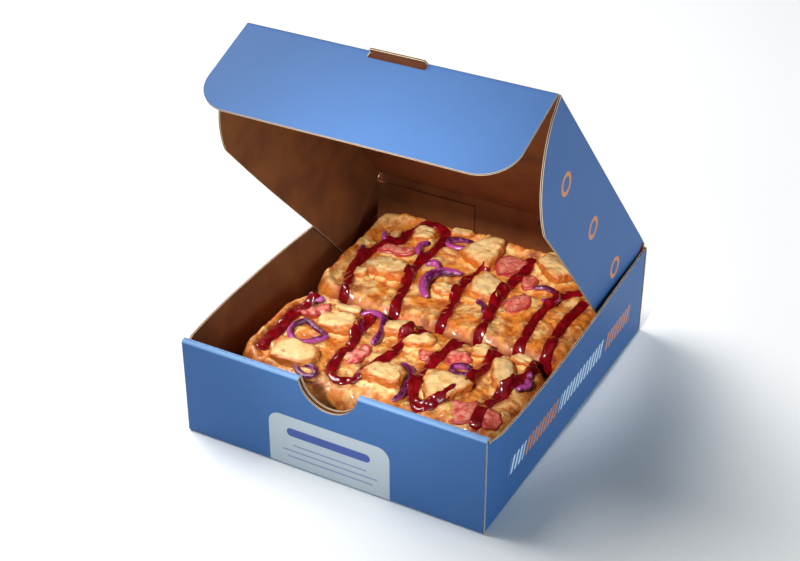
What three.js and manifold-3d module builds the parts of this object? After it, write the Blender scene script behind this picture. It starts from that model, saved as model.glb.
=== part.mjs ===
// A square-cut pizza in its open cardboard box.
// Millimetres, +Z up. The origin is the centre of the tray's underside, and the front wall faces -Y.
import * as THREE from 'three';
import { mergeVertices } from 'three/addons/utils/BufferGeometryUtils.js';
import Module from 'manifold-3d';

const wasm = await Module();
wasm.setup();

// ---------------------------------------------------------------- driving dimensions
const BOARD = 1.6;              // thickness of the corrugated board
const HALF_W = 125;             // half the tray's width, outside
const HALF_D = 146.5;           // half the tray's depth, outside
const SIDE_H = 77.3;            // height of the side walls
const FRONT_H = 82.7;           // height of the rolled front wall
const ROLL_D = 5.8;             // depth of the front wall, both layers and the hollow between them
const ROLL_R = 2.1;             // outer radius of the front wall's folded top edges
const FOLD_R = 1.5;             // outer radius of an ordinary fold
const BOW_LEFT = 6.5;           // how far the left wall's top bulges outwards
const BOW_RIGHT = 4.5;          // how far the right wall's top bulges outwards
const BOW_SKEW = 0.8;           // under 1, the bulge is greatest in front of the wall's middle
const BOW_RISE = 1.3;           // over 1, the bulge grows faster towards the top
const NOTCH_R = 25;             // thumb notch in the front wall
const NOTCH_Z = 85.9;           // height of the notch's centre
const CORNER_FLAP_END = 29;     // a corner flap reaches from its side wall to this distance from the middle
const CORNER_SLOT = 1;          // slit between the front panel and the front corner flap
const SEAM = 0.05;              // how far a panel's end is buried in the panel that it joins
const GAP = 0.3;                // clearance between pieces that touch

const HINGE_Y = HALF_D - BOARD / 2;   // lid hinge, in the middle of the rear fold
const HINGE_Z = 84.1;
const BEAD_R = BOARD / 2;             // rounded outside of a fold that turns
const LID_OPEN = 48;                  // degrees, how far the lid stands open at rest
const LID_HALF_W = 120.2;             // half-width of the lid's panel between its folds
const SIDE_FOLD_X = 121.3;            // side folds of the lid, from the middle
const FRONT_FOLD = 285.2;             // front fold of the lid, from the hinge
const TAB_X = 2.7;                    // middle of the tab that stands out beyond the front fold
const TAB_ROOT = 22.2;                // its half-width at the fold
const TAB_TIP = 21.2;                 // its half-width at the free end
const TAB_REACH = 6;
const TUCK_HALF_W = 120.1;
const TUCK_LENGTH = 81.3;             // tuck flap, from its fold to its free edge
const TUCK_ANGLE = 111;               // degrees, inside angle between lid and tuck flap at rest
const TUCK_CORNER = 27;
const TUCK_SLOT = 0.4;                // clearance round the tab in the slot that it came out of
const FLAP_FROM = 3.3;                // side flaps run along the lid from here
const FLAP_TO = 283.9;                // to here
const FLAP_DEPTH = 80;
const NOSE_R = 75;                    // the curved front end of a side flap is part of a circle,
const NOSE_ALONG = 209.6;             // whose centre lies here along the lid
const NOSE_DEPTH = 7.7;               // and this far below the fold
const FLAP_TAIL = 12;                 // radius at a side flap's rear end
const LEFT_SPLAY = [-0.6, 7.2];       // degrees outwards, at the rear and at the front
const RIGHT_SPLAY = [0, 3];
const SPLAY_FROM = 30;                // the splay grows along the lid from here
const SPLAY_TO = 200;                 // to here

const SLAB_TOP = 50;            // mean height of the crust's upper surface
const SLAB_SIDE = 33;           // height at which the side turns over into the shoulder
const SLAB_FOOT = 1.9;          // underside, just clear of the tray's floor
const SHOULDER = 12;            // how far in from the outline the shoulder reaches
const FRONT_SLAB = { x: 0.75, y: -54.5, halfX: 114.2, halfY: 56, corner: 30 };
const REAR_SLAB = { x: 0.75, y: 72.25, halfX: 114.2, halfY: 67.75, corner: 26 };
const TILT = { rise: 4, from: 40, to: 137 };   // the rear slab is thicker at its rear
const RIM = { rise: 6, ridge: 7.5, reach: 9 }; // puffed edge: height, and where its ridge and foot are
const RIM_LEFT = [60, 95];      // it grows to its full height between these distances to the left
const RIM_REAR = [100, 122];    // and between these to the rear
const SLAB_TOLERANCE = 0.08;    // facets of a slab's skin closer together than this are merged
const SAUCE_W = 9;              // width of a strand of sauce
const SAUCE_H = 5.4;            // its full height, half of it sunk into the crust
const ONION_W = 4.8;
const ONION_H = 4.2;
const ONION_CLEAR = 0.9;        // an onion lies on the crust, clear of its swells
const END_SCALE = 0.55;         // the rounded end of a rope narrows to this share of its width
const END_REACH = 0.8;          // and reaches this share of its half-width past the last point
const TOPPING_GAP = 0.4;        // clearance between toppings, and between them and the crust

// ---------------------------------------------------------------- colours
const BLUE = 0x5769a6;
const BLUE_LIGHT = 0x7f9ccb;
const CRUST = 0xd8974a;
const CHICKEN = 0xf0d9a4;
const HAM = 0xd97b74;
const ONION = 0x8c3f82;

// ---------------------------------------------------------------- solids
function volumeOf(geometry) {
  const p = geometry.attributes.position;
  const index = geometry.index;
  const a = new THREE.Vector3();
  const b = new THREE.Vector3();
  const c = new THREE.Vector3();
  let sum = 0;
  for (let i = 0; i < index.count; i += 3) {
    a.fromBufferAttribute(p, index.getX(i));
    b.fromBufferAttribute(p, index.getX(i + 1));
    c.fromBufferAttribute(p, index.getX(i + 2));
    sum += a.dot(b.cross(c)) / 6;
  }
  return sum;
}

function indexed(points, triangles) {
  const geometry = new THREE.BufferGeometry();
  geometry.setAttribute('position', new THREE.Float32BufferAttribute(points, 3));
  geometry.setIndex(triangles);
  if (volumeOf(geometry) < 0) {
    geometry.setIndex(triangles.map((v, i) => triangles[i - (i % 3) + (2 - (i % 3))]));
  }
  return geometry;
}

// A closed skin over a row of rings with equally many points each.
// The first and last rings get a cap, or meet each other where the row is a loop.
function loft(rings, loop = false) {
  const n = rings[0].length;
  const points = rings.flat().flatMap((p) => [p.x, p.y, p.z]);
  const triangles = [];
  const spans = loop ? rings.length : rings.length - 1;
  for (let i = 0; i < spans; i += 1) {
    const next = (i + 1) % rings.length;
    for (let j = 0; j < n; j += 1) {
      const k = (j + 1) % n;
      triangles.push(i * n + j, i * n + k, next * n + k);
      triangles.push(i * n + j, next * n + k, next * n + j);
    }
  }
  if (!loop) {
    for (const end of [0, rings.length - 1]) {
      const centre = new THREE.Vector3();
      rings[end].forEach((p) => centre.addScaledVector(p, 1 / n));
      const tip = points.length / 3;
      points.push(centre.x, centre.y, centre.z);
      for (let j = 0; j < n; j += 1) {
        const here = end * n + j;
        const there = end * n + ((j + 1) % n);
        triangles.push(...(end === 0 ? [there, here, tip] : [here, there, tip]));
      }
    }
  }
  return indexed(points, triangles);
}

function toSolid(geometry) {
  const bare = geometry.clone();
  bare.deleteAttribute('normal');
  bare.deleteAttribute('uv');
  const merged = mergeVertices(bare, 1e-4);
  return new wasm.Manifold(new wasm.Mesh({
    numProp: 3,
    vertProperties: new Float32Array(merged.attributes.position.array),
    triVerts: new Uint32Array(merged.index.array),
  }));
}

function toGeometry(solid) {
  const mesh = solid.getMesh();
  const geometry = new THREE.BufferGeometry();
  geometry.setAttribute('position', new THREE.BufferAttribute(mesh.vertProperties, 3));
  geometry.setIndex(new THREE.BufferAttribute(mesh.triVerts, 1));
  return geometry;
}

// The largest of the pieces that a cut leaves, rid of slivers thinner than the tolerance.
function mainPiece(solid, tolerance = 0.02) {
  const pieces = solid.decompose();
  const main = pieces.reduce((best, piece) => (piece.volume() > best.volume() ? piece : best));
  return main.simplify(tolerance);
}

function block(x0, x1, y0, y1, z0, z1) {
  const box = new THREE.BoxGeometry(x1 - x0, y1 - y0, z1 - z0);
  return toSolid(box.translate((x0 + x1) / 2, (y0 + y1) / 2, (z0 + z1) / 2));
}

// A shape drawn in (y, z), as long as the box is wide.
function alongX(shape, x0, x1, steps = 5) {
  const body = new THREE.ExtrudeGeometry(shape, { depth: x1 - x0, bevelEnabled: false, curveSegments: steps });
  const turn = new THREE.Matrix4().makeBasis(
    new THREE.Vector3(0, 1, 0), new THREE.Vector3(0, 0, 1), new THREE.Vector3(1, 0, 0),
  );
  return toSolid(body.applyMatrix4(turn).translate(x0, 0, 0));
}

// A shape drawn in (x, y), standing upright from z0 to z1.
function upright(shape, z0, z1, steps = 4) {
  const body = new THREE.ExtrudeGeometry(shape, { depth: z1 - z0, bevelEnabled: false, curveSegments: steps });
  return toSolid(body.translate(0, 0, z0));
}

function rad(degrees) {
  return THREE.MathUtils.degToRad(degrees);
}

const group = new THREE.Group();

function addNode(parent, name, geometry, color, roughness) {
  const material = new THREE.MeshStandardMaterial({ color, roughness, metalness: 0 });
  const mesh = new THREE.Mesh(geometry, material);
  mesh.name = name;
  parent.add(mesh);
  return mesh;
}

// ---------------------------------------------------------------- tray
// One side wall: a sheet of board that leaves the floor upright and bulges outwards towards its top.
function sideWall(side, bow) {
  const yFrom = -HALF_D + BOARD + CORNER_SLOT + FOLD_R;
  const yTo = HALF_D - BOARD + SEAM;
  const stations = 11;
  const bulge = (y, z) => {
    const along = (y + HALF_D) / (2 * HALF_D);
    return bow * Math.sin(Math.PI * along ** BOW_SKEW) * (z / SIDE_H) ** BOW_RISE;
  };
  const rings = [];
  for (let i = 0; i <= stations; i += 1) {
    const y = yFrom + (yTo - yFrom) * (i / stations);
    const ring = [0, 0.4, FOLD_R, 20, 40, 60, SIDE_H].map((z) => {
      const round = z < FOLD_R ? FOLD_R - Math.sqrt(FOLD_R ** 2 - (FOLD_R - z) ** 2) : 0;
      return new THREE.Vector3(side * (HALF_W - round + bulge(y, z)), y, z);
    });
    [SIDE_H, 60, 40, 20, 0].forEach((z) => {
      ring.push(new THREE.Vector3(side * (HALF_W - BOARD + bulge(y, z)), y, z));
    });
    rings.push(ring);
  }
  return toSolid(loft(rings));
}

// The front corner flap, folded off the side wall with a round fold, between the front wall's layers.
function frontCornerFlap(side) {
  const y0 = -HALF_D + BOARD + CORNER_SLOT;
  const y1 = -HALF_D + ROLL_D - BOARD + SEAM;
  const back = y0 + FOLD_R + BOARD;
  const reach = HALF_W - SEAM;
  const outline = new THREE.Shape();
  outline.moveTo(side * CORNER_FLAP_END, y0);
  outline.lineTo(side * (reach - FOLD_R), y0);
  const centre = new THREE.Vector2(side * (reach - FOLD_R), y0 + FOLD_R);
  if (side > 0) {
    outline.absarc(centre.x, centre.y, FOLD_R, -Math.PI / 2, 0, false);
  } else {
    outline.absarc(centre.x, centre.y, FOLD_R, -Math.PI / 2, -Math.PI, true);
  }
  outline.lineTo(side * reach, back);
  outline.lineTo(side * (reach - BOARD / 2), back);
  outline.lineTo(side * (reach - BOARD / 2), y1);
  outline.lineTo(side * CORNER_FLAP_END, y1);
  return upright(outline, FOLD_R - SEAM, SIDE_H - BOARD / 2);
}

// The front wall: up outside, over the top and down inside, as one folded strip.
function frontWall() {
  const front = -HALF_D;
  const back = -HALF_D + ROLL_D;
  const innerR = ROLL_R - BOARD;
  const outline = new THREE.Shape();
  outline.moveTo(front + FOLD_R, 0);
  outline.absarc(front + FOLD_R, FOLD_R, FOLD_R, -Math.PI / 2, -Math.PI, true);
  outline.absarc(front + ROLL_R, FRONT_H - ROLL_R, ROLL_R, Math.PI, Math.PI / 2, true);
  outline.absarc(back - ROLL_R, FRONT_H - ROLL_R, ROLL_R, Math.PI / 2, 0, true);
  outline.lineTo(back, BOARD / 2);
  outline.lineTo(back - BOARD, BOARD / 2);
  outline.absarc(back - ROLL_R, FRONT_H - ROLL_R, innerR, 0, Math.PI / 2, false);
  outline.absarc(front + ROLL_R, FRONT_H - ROLL_R, innerR, Math.PI / 2, Math.PI, false);
  outline.lineTo(front + BOARD, BOARD / 2);
  outline.lineTo(front + 2 * BOARD, BOARD / 2);
  outline.lineTo(front + 2 * BOARD, 0);
  const wall = alongX(outline, -HALF_W, HALF_W);
  const low = [back - 1.5 * BOARD, back + 1, -1, SIDE_H - BOARD / 2];
  const trimRight = block(HALF_W - BOARD / 2, HALF_W + 1, ...low);
  const trimLeft = block(-HALF_W - 1, -HALF_W + BOARD / 2, ...low);
  return wall.subtract(trimRight).subtract(trimLeft);
}

function makeTray() {
  const floorX = HALF_W - FOLD_R - SEAM;
  const floorY = HALF_D - FOLD_R - SEAM;
  let tray = block(-floorX, floorX, -floorY, floorY, 0, BOARD);
  tray = tray.add(frontWall());
  tray = tray.add(sideWall(-1, BOW_LEFT)).add(sideWall(1, BOW_RIGHT));
  const rear = new THREE.Shape();
  rear.moveTo(HALF_D - 2 * BOARD, 0);
  rear.absarc(HALF_D - FOLD_R, FOLD_R, FOLD_R, -Math.PI / 2, 0, false);
  rear.lineTo(HALF_D, HINGE_Z - BEAD_R - GAP);
  rear.lineTo(HALF_D - BOARD, HINGE_Z - BEAD_R - GAP);
  rear.lineTo(HALF_D - BOARD, BOARD / 2);
  rear.lineTo(HALF_D - 2 * BOARD, BOARD / 2);
  tray = tray.add(alongX(rear, -HALF_W, HALF_W));
  for (const side of [-1, 1]) {
    tray = tray.add(frontCornerFlap(side));
    const x = [side * CORNER_FLAP_END, side * (HALF_W - BOARD / 2)].sort((a, b) => a - b);
    const inner = HALF_D - 2 * BOARD;
    tray = tray.add(block(x[0], x[1], inner, HALF_D - BOARD / 2, BOARD / 2, SIDE_H - BOARD / 2));
  }
  const notch = new THREE.CylinderGeometry(NOTCH_R, NOTCH_R, 4 * ROLL_D, 36);
  return tray.subtract(toSolid(notch.translate(0, -HALF_D, NOTCH_Z)));
}

addNode(group, 'tray', toGeometry(mainPiece(makeTray())), BLUE, 0.5);

// ---------------------------------------------------------------- lid
// The lid is drawn shut: x across, y from the hinge towards the front, z = 0 in the middle of the board.
// The group turns y forwards and opens the lid about the hinge.
const lid = new THREE.Group();
lid.position.set(0, HINGE_Y, HINGE_Z);
lid.rotation.set(-rad(LID_OPEN), 0, 0);
group.add(lid);

function lidPanel() {
  const edge = new THREE.Shape();
  const end = -(FRONT_FOLD - BEAD_R - GAP);
  edge.moveTo(end, -BEAD_R);
  edge.absarc(0, 0, BEAD_R, -Math.PI / 2, Math.PI / 2, false);
  edge.lineTo(end, BEAD_R);
  const panel = alongX(edge, -LID_HALF_W, LID_HALF_W, 6);
  const tab = new THREE.Shape();
  tab.moveTo(TAB_X - TAB_ROOT, end + BOARD);
  tab.lineTo(TAB_X - TAB_ROOT, -FRONT_FOLD);
  tab.lineTo(TAB_X - TAB_TIP, -FRONT_FOLD - TAB_REACH);
  tab.lineTo(TAB_X + TAB_TIP, -FRONT_FOLD - TAB_REACH);
  tab.lineTo(TAB_X + TAB_ROOT, -FRONT_FOLD);
  tab.lineTo(TAB_X + TAB_ROOT, end + BOARD);
  return panel.add(upright(tab, -BEAD_R, BEAD_R));
}

addNode(lid, 'lid_panel', toGeometry(lidPanel()), BLUE_LIGHT, 0.5);

// A side flap hangs from its fold and leans outwards by an angle that grows towards the front.
function sideFlap(side, splay) {
  const stations = 18;
  const outline = (along) => {
    const past = Math.max(0, along - NOSE_ALONG);
    const tail = Math.max(0, 1 - (along - FLAP_FROM) / FLAP_TAIL);
    const front = Math.min(FLAP_DEPTH, NOSE_DEPTH + Math.sqrt(NOSE_R ** 2 - past ** 2));
    return front - FLAP_TAIL * (1 - Math.sqrt(1 - tail ** 2));
  };
  const rings = [];
  for (let i = 0; i <= stations; i += 1) {
    const eased = 1 - (1 - (i / stations) ** 1.3) ** 1.5;    // closer together towards both ends
    const along = FLAP_FROM + (FLAP_TO - FLAP_FROM) * eased;
    const forward = THREE.MathUtils.smoothstep(along, SPLAY_FROM, SPLAY_TO);
    const lean = rad(THREE.MathUtils.lerp(splay[0], splay[1], forward));
    const depth = outline(along);
    const out = new THREE.Vector2(Math.cos(lean), Math.sin(lean));
    const down = new THREE.Vector2(Math.sin(lean), -Math.cos(lean));
    const section = [];
    for (let k = 0; k <= 4; k += 1) {
      const turn = Math.PI * (k / 4);
      section.push([Math.cos(turn) * BEAD_R, -Math.sin(turn) * BEAD_R]);
    }
    section.push([-BEAD_R, depth / 2], [-BEAD_R, depth], [BEAD_R, depth], [BEAD_R, depth / 2]);
    rings.push(section.map(([offset, d]) => new THREE.Vector3(
      side * (SIDE_FOLD_X + out.x * offset + down.x * d),
      -along,
      out.y * offset + down.y * d,
    )));
  }
  return loft(rings);
}

addNode(lid, 'left_flap', sideFlap(-1, LEFT_SPLAY), BLUE, 0.5);
addNode(lid, 'right_flap', sideFlap(1, RIGHT_SPLAY), BLUE, 0.5);

// The tuck flap is drawn flat, in line with the lid, and turned about the front fold.
function tuckFlap() {
  const straight = TUCK_HALF_W - TUCK_CORNER;
  const centreY = TUCK_LENGTH - TUCK_CORNER;
  const outline = new THREE.Shape();
  outline.moveTo(-TUCK_HALF_W, 0);
  outline.lineTo(TUCK_HALF_W, 0);
  outline.lineTo(TUCK_HALF_W, centreY);
  outline.absarc(straight, centreY, TUCK_CORNER, 0, Math.PI / 2, false);
  outline.absarc(-straight, centreY, TUCK_CORNER, Math.PI / 2, Math.PI, false);
  const plate = upright(outline, -BEAD_R, BEAD_R, 9).rotate([180, 0, 0]);
  const bead = new THREE.CylinderGeometry(BEAD_R, BEAD_R, 2 * TUCK_HALF_W, 12).rotateZ(Math.PI / 2);
  const slotX = TAB_ROOT + TUCK_SLOT;
  const slot = block(TAB_X - slotX, TAB_X + slotX, -TAB_REACH - TUCK_SLOT, BOARD, -BOARD, BOARD);
  return plate.add(toSolid(bead)).subtract(slot);
}

const tuck = addNode(lid, 'tuck_flap', toGeometry(tuckFlap()), BLUE_LIGHT, 0.5);
tuck.position.set(0, -FRONT_FOLD, 0);
tuck.rotation.set(rad(180 - TUCK_ANGLE), 0, 0);

// ---------------------------------------------------------------- crust
// Distance inwards from a slab's rounded-rectangle outline.
function inset(x, y, slab) {
  const qx = Math.abs(x - slab.x) - (slab.halfX - slab.corner);
  const qy = Math.abs(y - slab.y) - (slab.halfY - slab.corner);
  const outside = Math.hypot(Math.max(qx, 0), Math.max(qy, 0));
  return slab.corner - outside - Math.min(Math.max(qx, qy), 0);
}

// Low, uneven swells of the baked surface.
function swell(x, y) {
  const long = 1.2 * Math.sin(x / 11 + 1.6 * Math.sin(y / 23)) * Math.cos(y / 13 + x / 37);
  return long + 0.3 * Math.sin((x + 2 * y) / 10);
}

// The baked edge puffs up along the left side and along the rear.
function puff(x, y, slab) {
  const { smoothstep, clamp } = THREE.MathUtils;
  const share = Math.max(smoothstep(-x, ...RIM_LEFT), smoothstep(y, ...RIM_REAR));
  const across = clamp((inset(x, y, slab) - RIM.ridge) / RIM.reach, -1, 1);
  return RIM.rise * share * Math.cos(Math.PI / 2 * across) ** 2;
}

function surface(x, y, slab) {
  const depth = THREE.MathUtils.clamp(inset(x, y, slab) / SHOULDER, 0, 1);
  const tilt = TILT.rise * THREE.MathUtils.clamp((y - TILT.from) / (TILT.to - TILT.from), 0, 1);
  const top = SLAB_TOP + swell(x, y) + tilt + puff(x, y, slab);
  return SLAB_SIDE + (top - SLAB_SIDE) * Math.sqrt(1 - (1 - depth) ** 2);
}

// The outline moved inwards by a distance, with the same number of points for every distance.
function outlineRing(slab, distance) {
  const halfX = slab.halfX - distance;
  const halfY = slab.halfY - distance;
  const r = Math.max(slab.corner - distance, 0.3 * halfY);
  const corners = [[1, -1, -90], [1, 1, 0], [-1, 1, 90], [-1, -1, 180]];
  const ring = [];
  corners.forEach(([sx, sy, from], i) => {
    const cx = slab.x + sx * (halfX - r);
    const cy = slab.y + sy * (halfY - r);
    for (let k = 0; k <= 3; k += 1) {
      const turn = rad(from + 90 * (k / 3));
      ring.push(new THREE.Vector2(cx + r * Math.cos(turn), cy + r * Math.sin(turn)));
    }
    const [nx, ny] = corners[(i + 1) % 4];
    const next = rad(corners[(i + 1) % 4][2]);
    const end = ring[ring.length - 1];
    const target = new THREE.Vector2(
      slab.x + nx * (halfX - r) + r * Math.cos(next),
      slab.y + ny * (halfY - r) + r * Math.sin(next),
    );
    const pieces = i % 2 === 0 ? 4 : 9;
    for (let k = 1; k < pieces; k += 1) {
      ring.push(end.clone().lerp(target, k / pieces));
    }
  });
  return ring;
}

function crustSlab(slab) {
  const side = [[7.5, SLAB_FOOT], [6.4, 6], [4.6, 14], [1.8, 24]];
  const rings = side.map(([distance, z]) => outlineRing(slab, distance).map((p) => {
    const wave = 0.5 * Math.sin(p.x / 9 + p.y / 7 + z / 8);
    return new THREE.Vector3(p.x + wave, p.y + wave / 2, z);
  }));
  const reach = slab.halfY - 3;
  for (const distance of [0, 0.9, 3.4, 8, 15, 25, 36, reach]) {
    rings.push(outlineRing(slab, distance).map((p) => {
      const z = surface(p.x, p.y, slab);
      return new THREE.Vector3(p.x, p.y, z);
    }));
  }
  return toSolid(loft(rings));
}

// ---------------------------------------------------------------- what lies on the crust
// A rope along points on the surface, with its middle lifted above the crust.
function rope(slab, points, width, height, lift, options = {}) {
  const { grow = 0, sides = 8, loop = false, step = 9, arch = 0 } = options;
  const path = new THREE.CatmullRomCurve3(points.map(([x, y]) => new THREE.Vector3(x, y, 0)), loop);
  const count = Math.max(5, Math.round(path.getLength() / step));
  const halfW = width / 2 + grow;
  const halfH = height / 2 + grow;
  const centreAt = (t) => {
    const p = path.getPointAt(t);
    p.z = surface(p.x, p.y, slab) + lift + arch * Math.sin(Math.PI * t);
    return p;
  };
  const ringAt = (t, scale, push) => {
    const centre = centreAt(t);
    const ahead = path.getTangentAt(t).normalize();
    const across = new THREE.Vector3(ahead.y, -ahead.x, 0);
    centre.addScaledVector(ahead, push);
    return Array.from({ length: sides }, (_, k) => {
      const turn = (2 * Math.PI * k) / sides;
      const p = centre.clone().addScaledVector(across, Math.cos(turn) * halfW * scale);
      p.z += Math.sin(turn) * halfH * scale;
      return p;
    });
  };
  const rings = [];
  if (!loop) {
    rings.push(ringAt(0, END_SCALE, -halfW * END_REACH));
  }
  for (let i = 0; i < count + (loop ? 0 : 1); i += 1) {
    rings.push(ringAt(i / count, 1, 0));
  }
  if (!loop) {
    rings.push(ringAt(1, END_SCALE, halfW * END_REACH));
  }
  return toSolid(loft(rings, loop));
}

// A chunk or slice: a rounded block with an uneven outline, turned, tilted, bent and tapered.
// An exponent of 2 gives an ellipsoid, more gives flatter faces and squarer corners.
function chunk(slab, piece, grow) {
  const { at, size, turn = 0, tilt = 0, roll = 0, bend = 0, taper = 0 } = piece;
  const { around, boxy, lobes, sunk, levels } = piece;
  const half = size.map((v) => v / 2 + grow);
  const rings = levels.map((level) => {
    const width = (1 - Math.abs(level) ** boxy) ** (1 / boxy);
    return Array.from({ length: around }, (_, k) => {
      const angle = (2 * Math.PI * k) / around;
      const c = Math.cos(angle);
      const s = Math.sin(angle);
      const square = (Math.abs(c) ** boxy + Math.abs(s) ** boxy) ** (-1 / boxy);
      const uneven = 1 + lobes * Math.sin(2 * angle + at[0]) + lobes * Math.sin(3 * angle + at[1]);
      const reach = width * square * uneven;
      const sag = bend * (reach * c) ** 2;
      const wide = 1 + taper * reach * c;
      return new THREE.Vector3(half[0] * reach * c, half[1] * reach * s * wide, half[2] * level + sag);
    });
  });
  const body = loft(rings);
  body.rotateX(rad(roll)).rotateY(rad(-tilt)).rotateZ(rad(turn));
  const z = surface(at[0], at[1], slab) + size[2] / 2 - sunk;
  return toSolid(body.translate(at[0], at[1], z));
}

// Chicken, ham and onion, each with its place, size and turn. Those listed first lie on top:
// whatever comes later is cut clear of them.
const frontPieces = [
  ['chicken', { at: [53, -74], size: [34, 29, 12], turn: -88, tilt: -4, taper: -0.5 }],
  ['chicken', { at: [85, -36], size: [17, 35, 12], turn: 26, tilt: -5 }],
  ['chicken', { at: [-58, -36], size: [33, 21, 12], turn: 12, tilt: 4, taper: 0.15 }],
  ['chicken', { at: [-66, -86], size: [38, 27, 11], turn: 6, tilt: -4, boxy: 4 }],
  ['chicken', { at: [8, -79], size: [30, 23, 12], turn: 4, roll: -6, taper: 0.1 }],
  ['chicken', { at: [-12, -18], size: [24, 15, 10], turn: 14, tilt: 6, taper: -0.3 }],
  ['chicken', { at: [10, -26], size: [25, 12, 10], turn: 42, roll: 5 }],
  ['chicken', { at: [-60, -14], size: [20, 11, 9], turn: 12 }],
  ['chicken', { at: [56, -14], size: [14, 16, 9], turn: 18 }],
  ['chicken', { at: [90, -12], size: [18, 11, 9], turn: -4 }],
  ['ham', { at: [77, -88], size: [24, 29, 4.4], turn: 14, tilt: 9, sunk: 1.4 }],
  ['ham', { at: [100, -86], size: [15, 22, 5], turn: 24, tilt: -12, sunk: 1.4 }],
  ['ham', { at: [-83, -26], size: [27, 13, 4.4], turn: 50, bend: 3, sunk: 1.2 }],
  ['ham', { at: [-25, -62], size: [24, 13, 5], turn: 70, tilt: 8, sunk: 1.2 }],
  ['ham', { at: [22, -38], size: [14, 12, 5], turn: 20, sunk: 1.4 }],
  ['ham', { at: [44, -29], size: [18, 16, 4.6], turn: 25, roll: 6, sunk: 1.2 }],
];
const rearPieces = [
  ['chicken', { at: [-63, 54], size: [37, 24, 12], turn: -3, tilt: 3 }],
  ['chicken', { at: [-1, 111], size: [38, 28, 12], turn: 74, tilt: 7, taper: -0.5 }],
  ['chicken', { at: [22, 63], size: [25, 31, 12], turn: -4, tilt: -14 }],
  ['chicken', { at: [59, 113], size: [39, 20, 12], turn: -40, tilt: 4 }],
  ['chicken', { at: [-61, 114], size: [17, 20, 11], turn: 12, sunk: 3.6 }],
  ['chicken', { at: [-80, 39], size: [10, 12, 9], turn: 12, sunk: 3 }],
  ['chicken', { at: [-8, 50], size: [20, 13, 9], turn: 14, sunk: 3 }],
  ['chicken', { at: [-33, 127], size: [18, 9, 9], turn: 12, sunk: 3.5 }],
  ['ham', { at: [51, 60], size: [21, 30, 4.4], turn: -4, tilt: 6, boxy: 2.2, lobes: 0.04, sunk: 1 }],
  ['ham', { at: [23, 105], size: [25, 29, 4.6], turn: -8, bend: 2, sunk: 1.2 }],
  ['ham', { at: [48, 90], size: [13, 19, 5], turn: 14, tilt: 8, sunk: 1.2 }],
  ['ham', { at: [-71, 83], size: [34, 14, 4.8], turn: 13, bend: 2, sunk: 1.2 }],
];
const frontOnions = [
  { path: [[-88, -53], [-82, -43], [-71, -47], [-58, -54], [-64, -64], [-75, -69], [-85, -63]], loop: true },
  { path: [[-96, -13], [-90, -16], [-84, -12]] },
  { path: [[-57, -98], [-51, -94], [-42, -96], [-39, -102], [-48, -104]], loop: true },
  { path: [[-50, -14], [-42, -9], [-32, -11], [-26, -20], [-22, -33], [-20, -48]], width: 5.6 },
  { path: [[10, -58], [18, -60], [25, -68], [28, -82], [29, -94], [27, -102]] },
  { path: [[47, -43], [49, -49], [58, -50], [63, -45], [59, -39], [52, -39]], loop: true },
  { path: [[103, -33], [107, -41], [102, -49]], width: 5.6 },
  { path: [[97, -19], [101, -25], [104, -30]] },
];
const rearOnions = [
  { path: [[-92, 102], [-87, 91], [-81, 97]] },
  { path: [[-98, 74], [-95, 67], [-95, 60]] },
  { path: [[-50, 104], [-55, 96], [-53, 88], [-48, 82]] },
  { path: [[-39, 74], [-32, 77], [-25, 74]], width: 5.6 },
  { path: [[-36, 109], [-27, 107], [-18, 112], [-19, 119], [-29, 120], [-37, 115]], loop: true },
  { path: [[-14, 31], [-21, 37], [-25, 47], [-25, 58], [-20, 67], [-12, 72], [-4, 73]], width: 7.4 },
  { path: [[22, 46], [28, 43], [33, 38], [35, 32]] },
  { path: [[54, 82], [63, 86], [72, 84], [78, 77], [75, 69], [67, 71]] },
];

// Sauce, poured to and fro across the crust.
const frontSauce = [
  [[-90, -9], [-95, -22], [-97, -43], [-96, -62], [-96, -78], [-93, -92]],
  [
    [-42, -11], [-41, -30], [-37, -50], [-36, -76], [-31, -91], [-22, -96],
    [-12, -90], [-11, -70], [-4, -54], [-3, -36], [-5, -20], [4, -8],
  ],
  [[36, -8], [31, -24], [29, -46], [30, -68], [36, -86], [48, -96], [57, -88], [61, -62]],
  [[67, -8], [66, -28], [65, -44], [67, -66]],
  [[103, -8], [99, -24], [94, -50], [89, -66], [89, -80], [93, -100]],
];
const rearSauce = [
  [
    [-31, 7], [-36, 22], [-41, 45], [-46, 66], [-46, 78], [-43, 98], [-46, 124], [-58, 129],
    [-70, 123], [-77, 110], [-76, 101], [-86, 85], [-92, 58], [-91, 40], [-82, 20], [-77, 7],
  ],
  [[7, 120], [8, 96], [3, 82], [0, 62], [5, 36], [10, 7]],
  [[34, 124], [38, 106], [35, 80], [35, 58], [40, 28], [43, 7]],
  [[91, 99], [80, 88], [75, 68], [73, 46], [75, 24], [77, 7]],
  [[98, 88], [96, 66], [95, 44], [97, 26], [100, 7]],
];

const cuts = {
  chicken: { around: 8, boxy: 5, lobes: 0.03, sunk: 2.5, levels: [-0.94, -0.3, 0.5, 0.94] },
  ham: { around: 10, boxy: 3, lobes: 0.07, sunk: 1.2, levels: [-0.88, 0, 0.88] },
};
const looks = { chicken: [CHICKEN, 0.55], ham: [HAM, 0.5], onion: [ONION, 0.35] };
const counts = { chicken: 0, ham: 0, onion: 0 };

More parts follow.
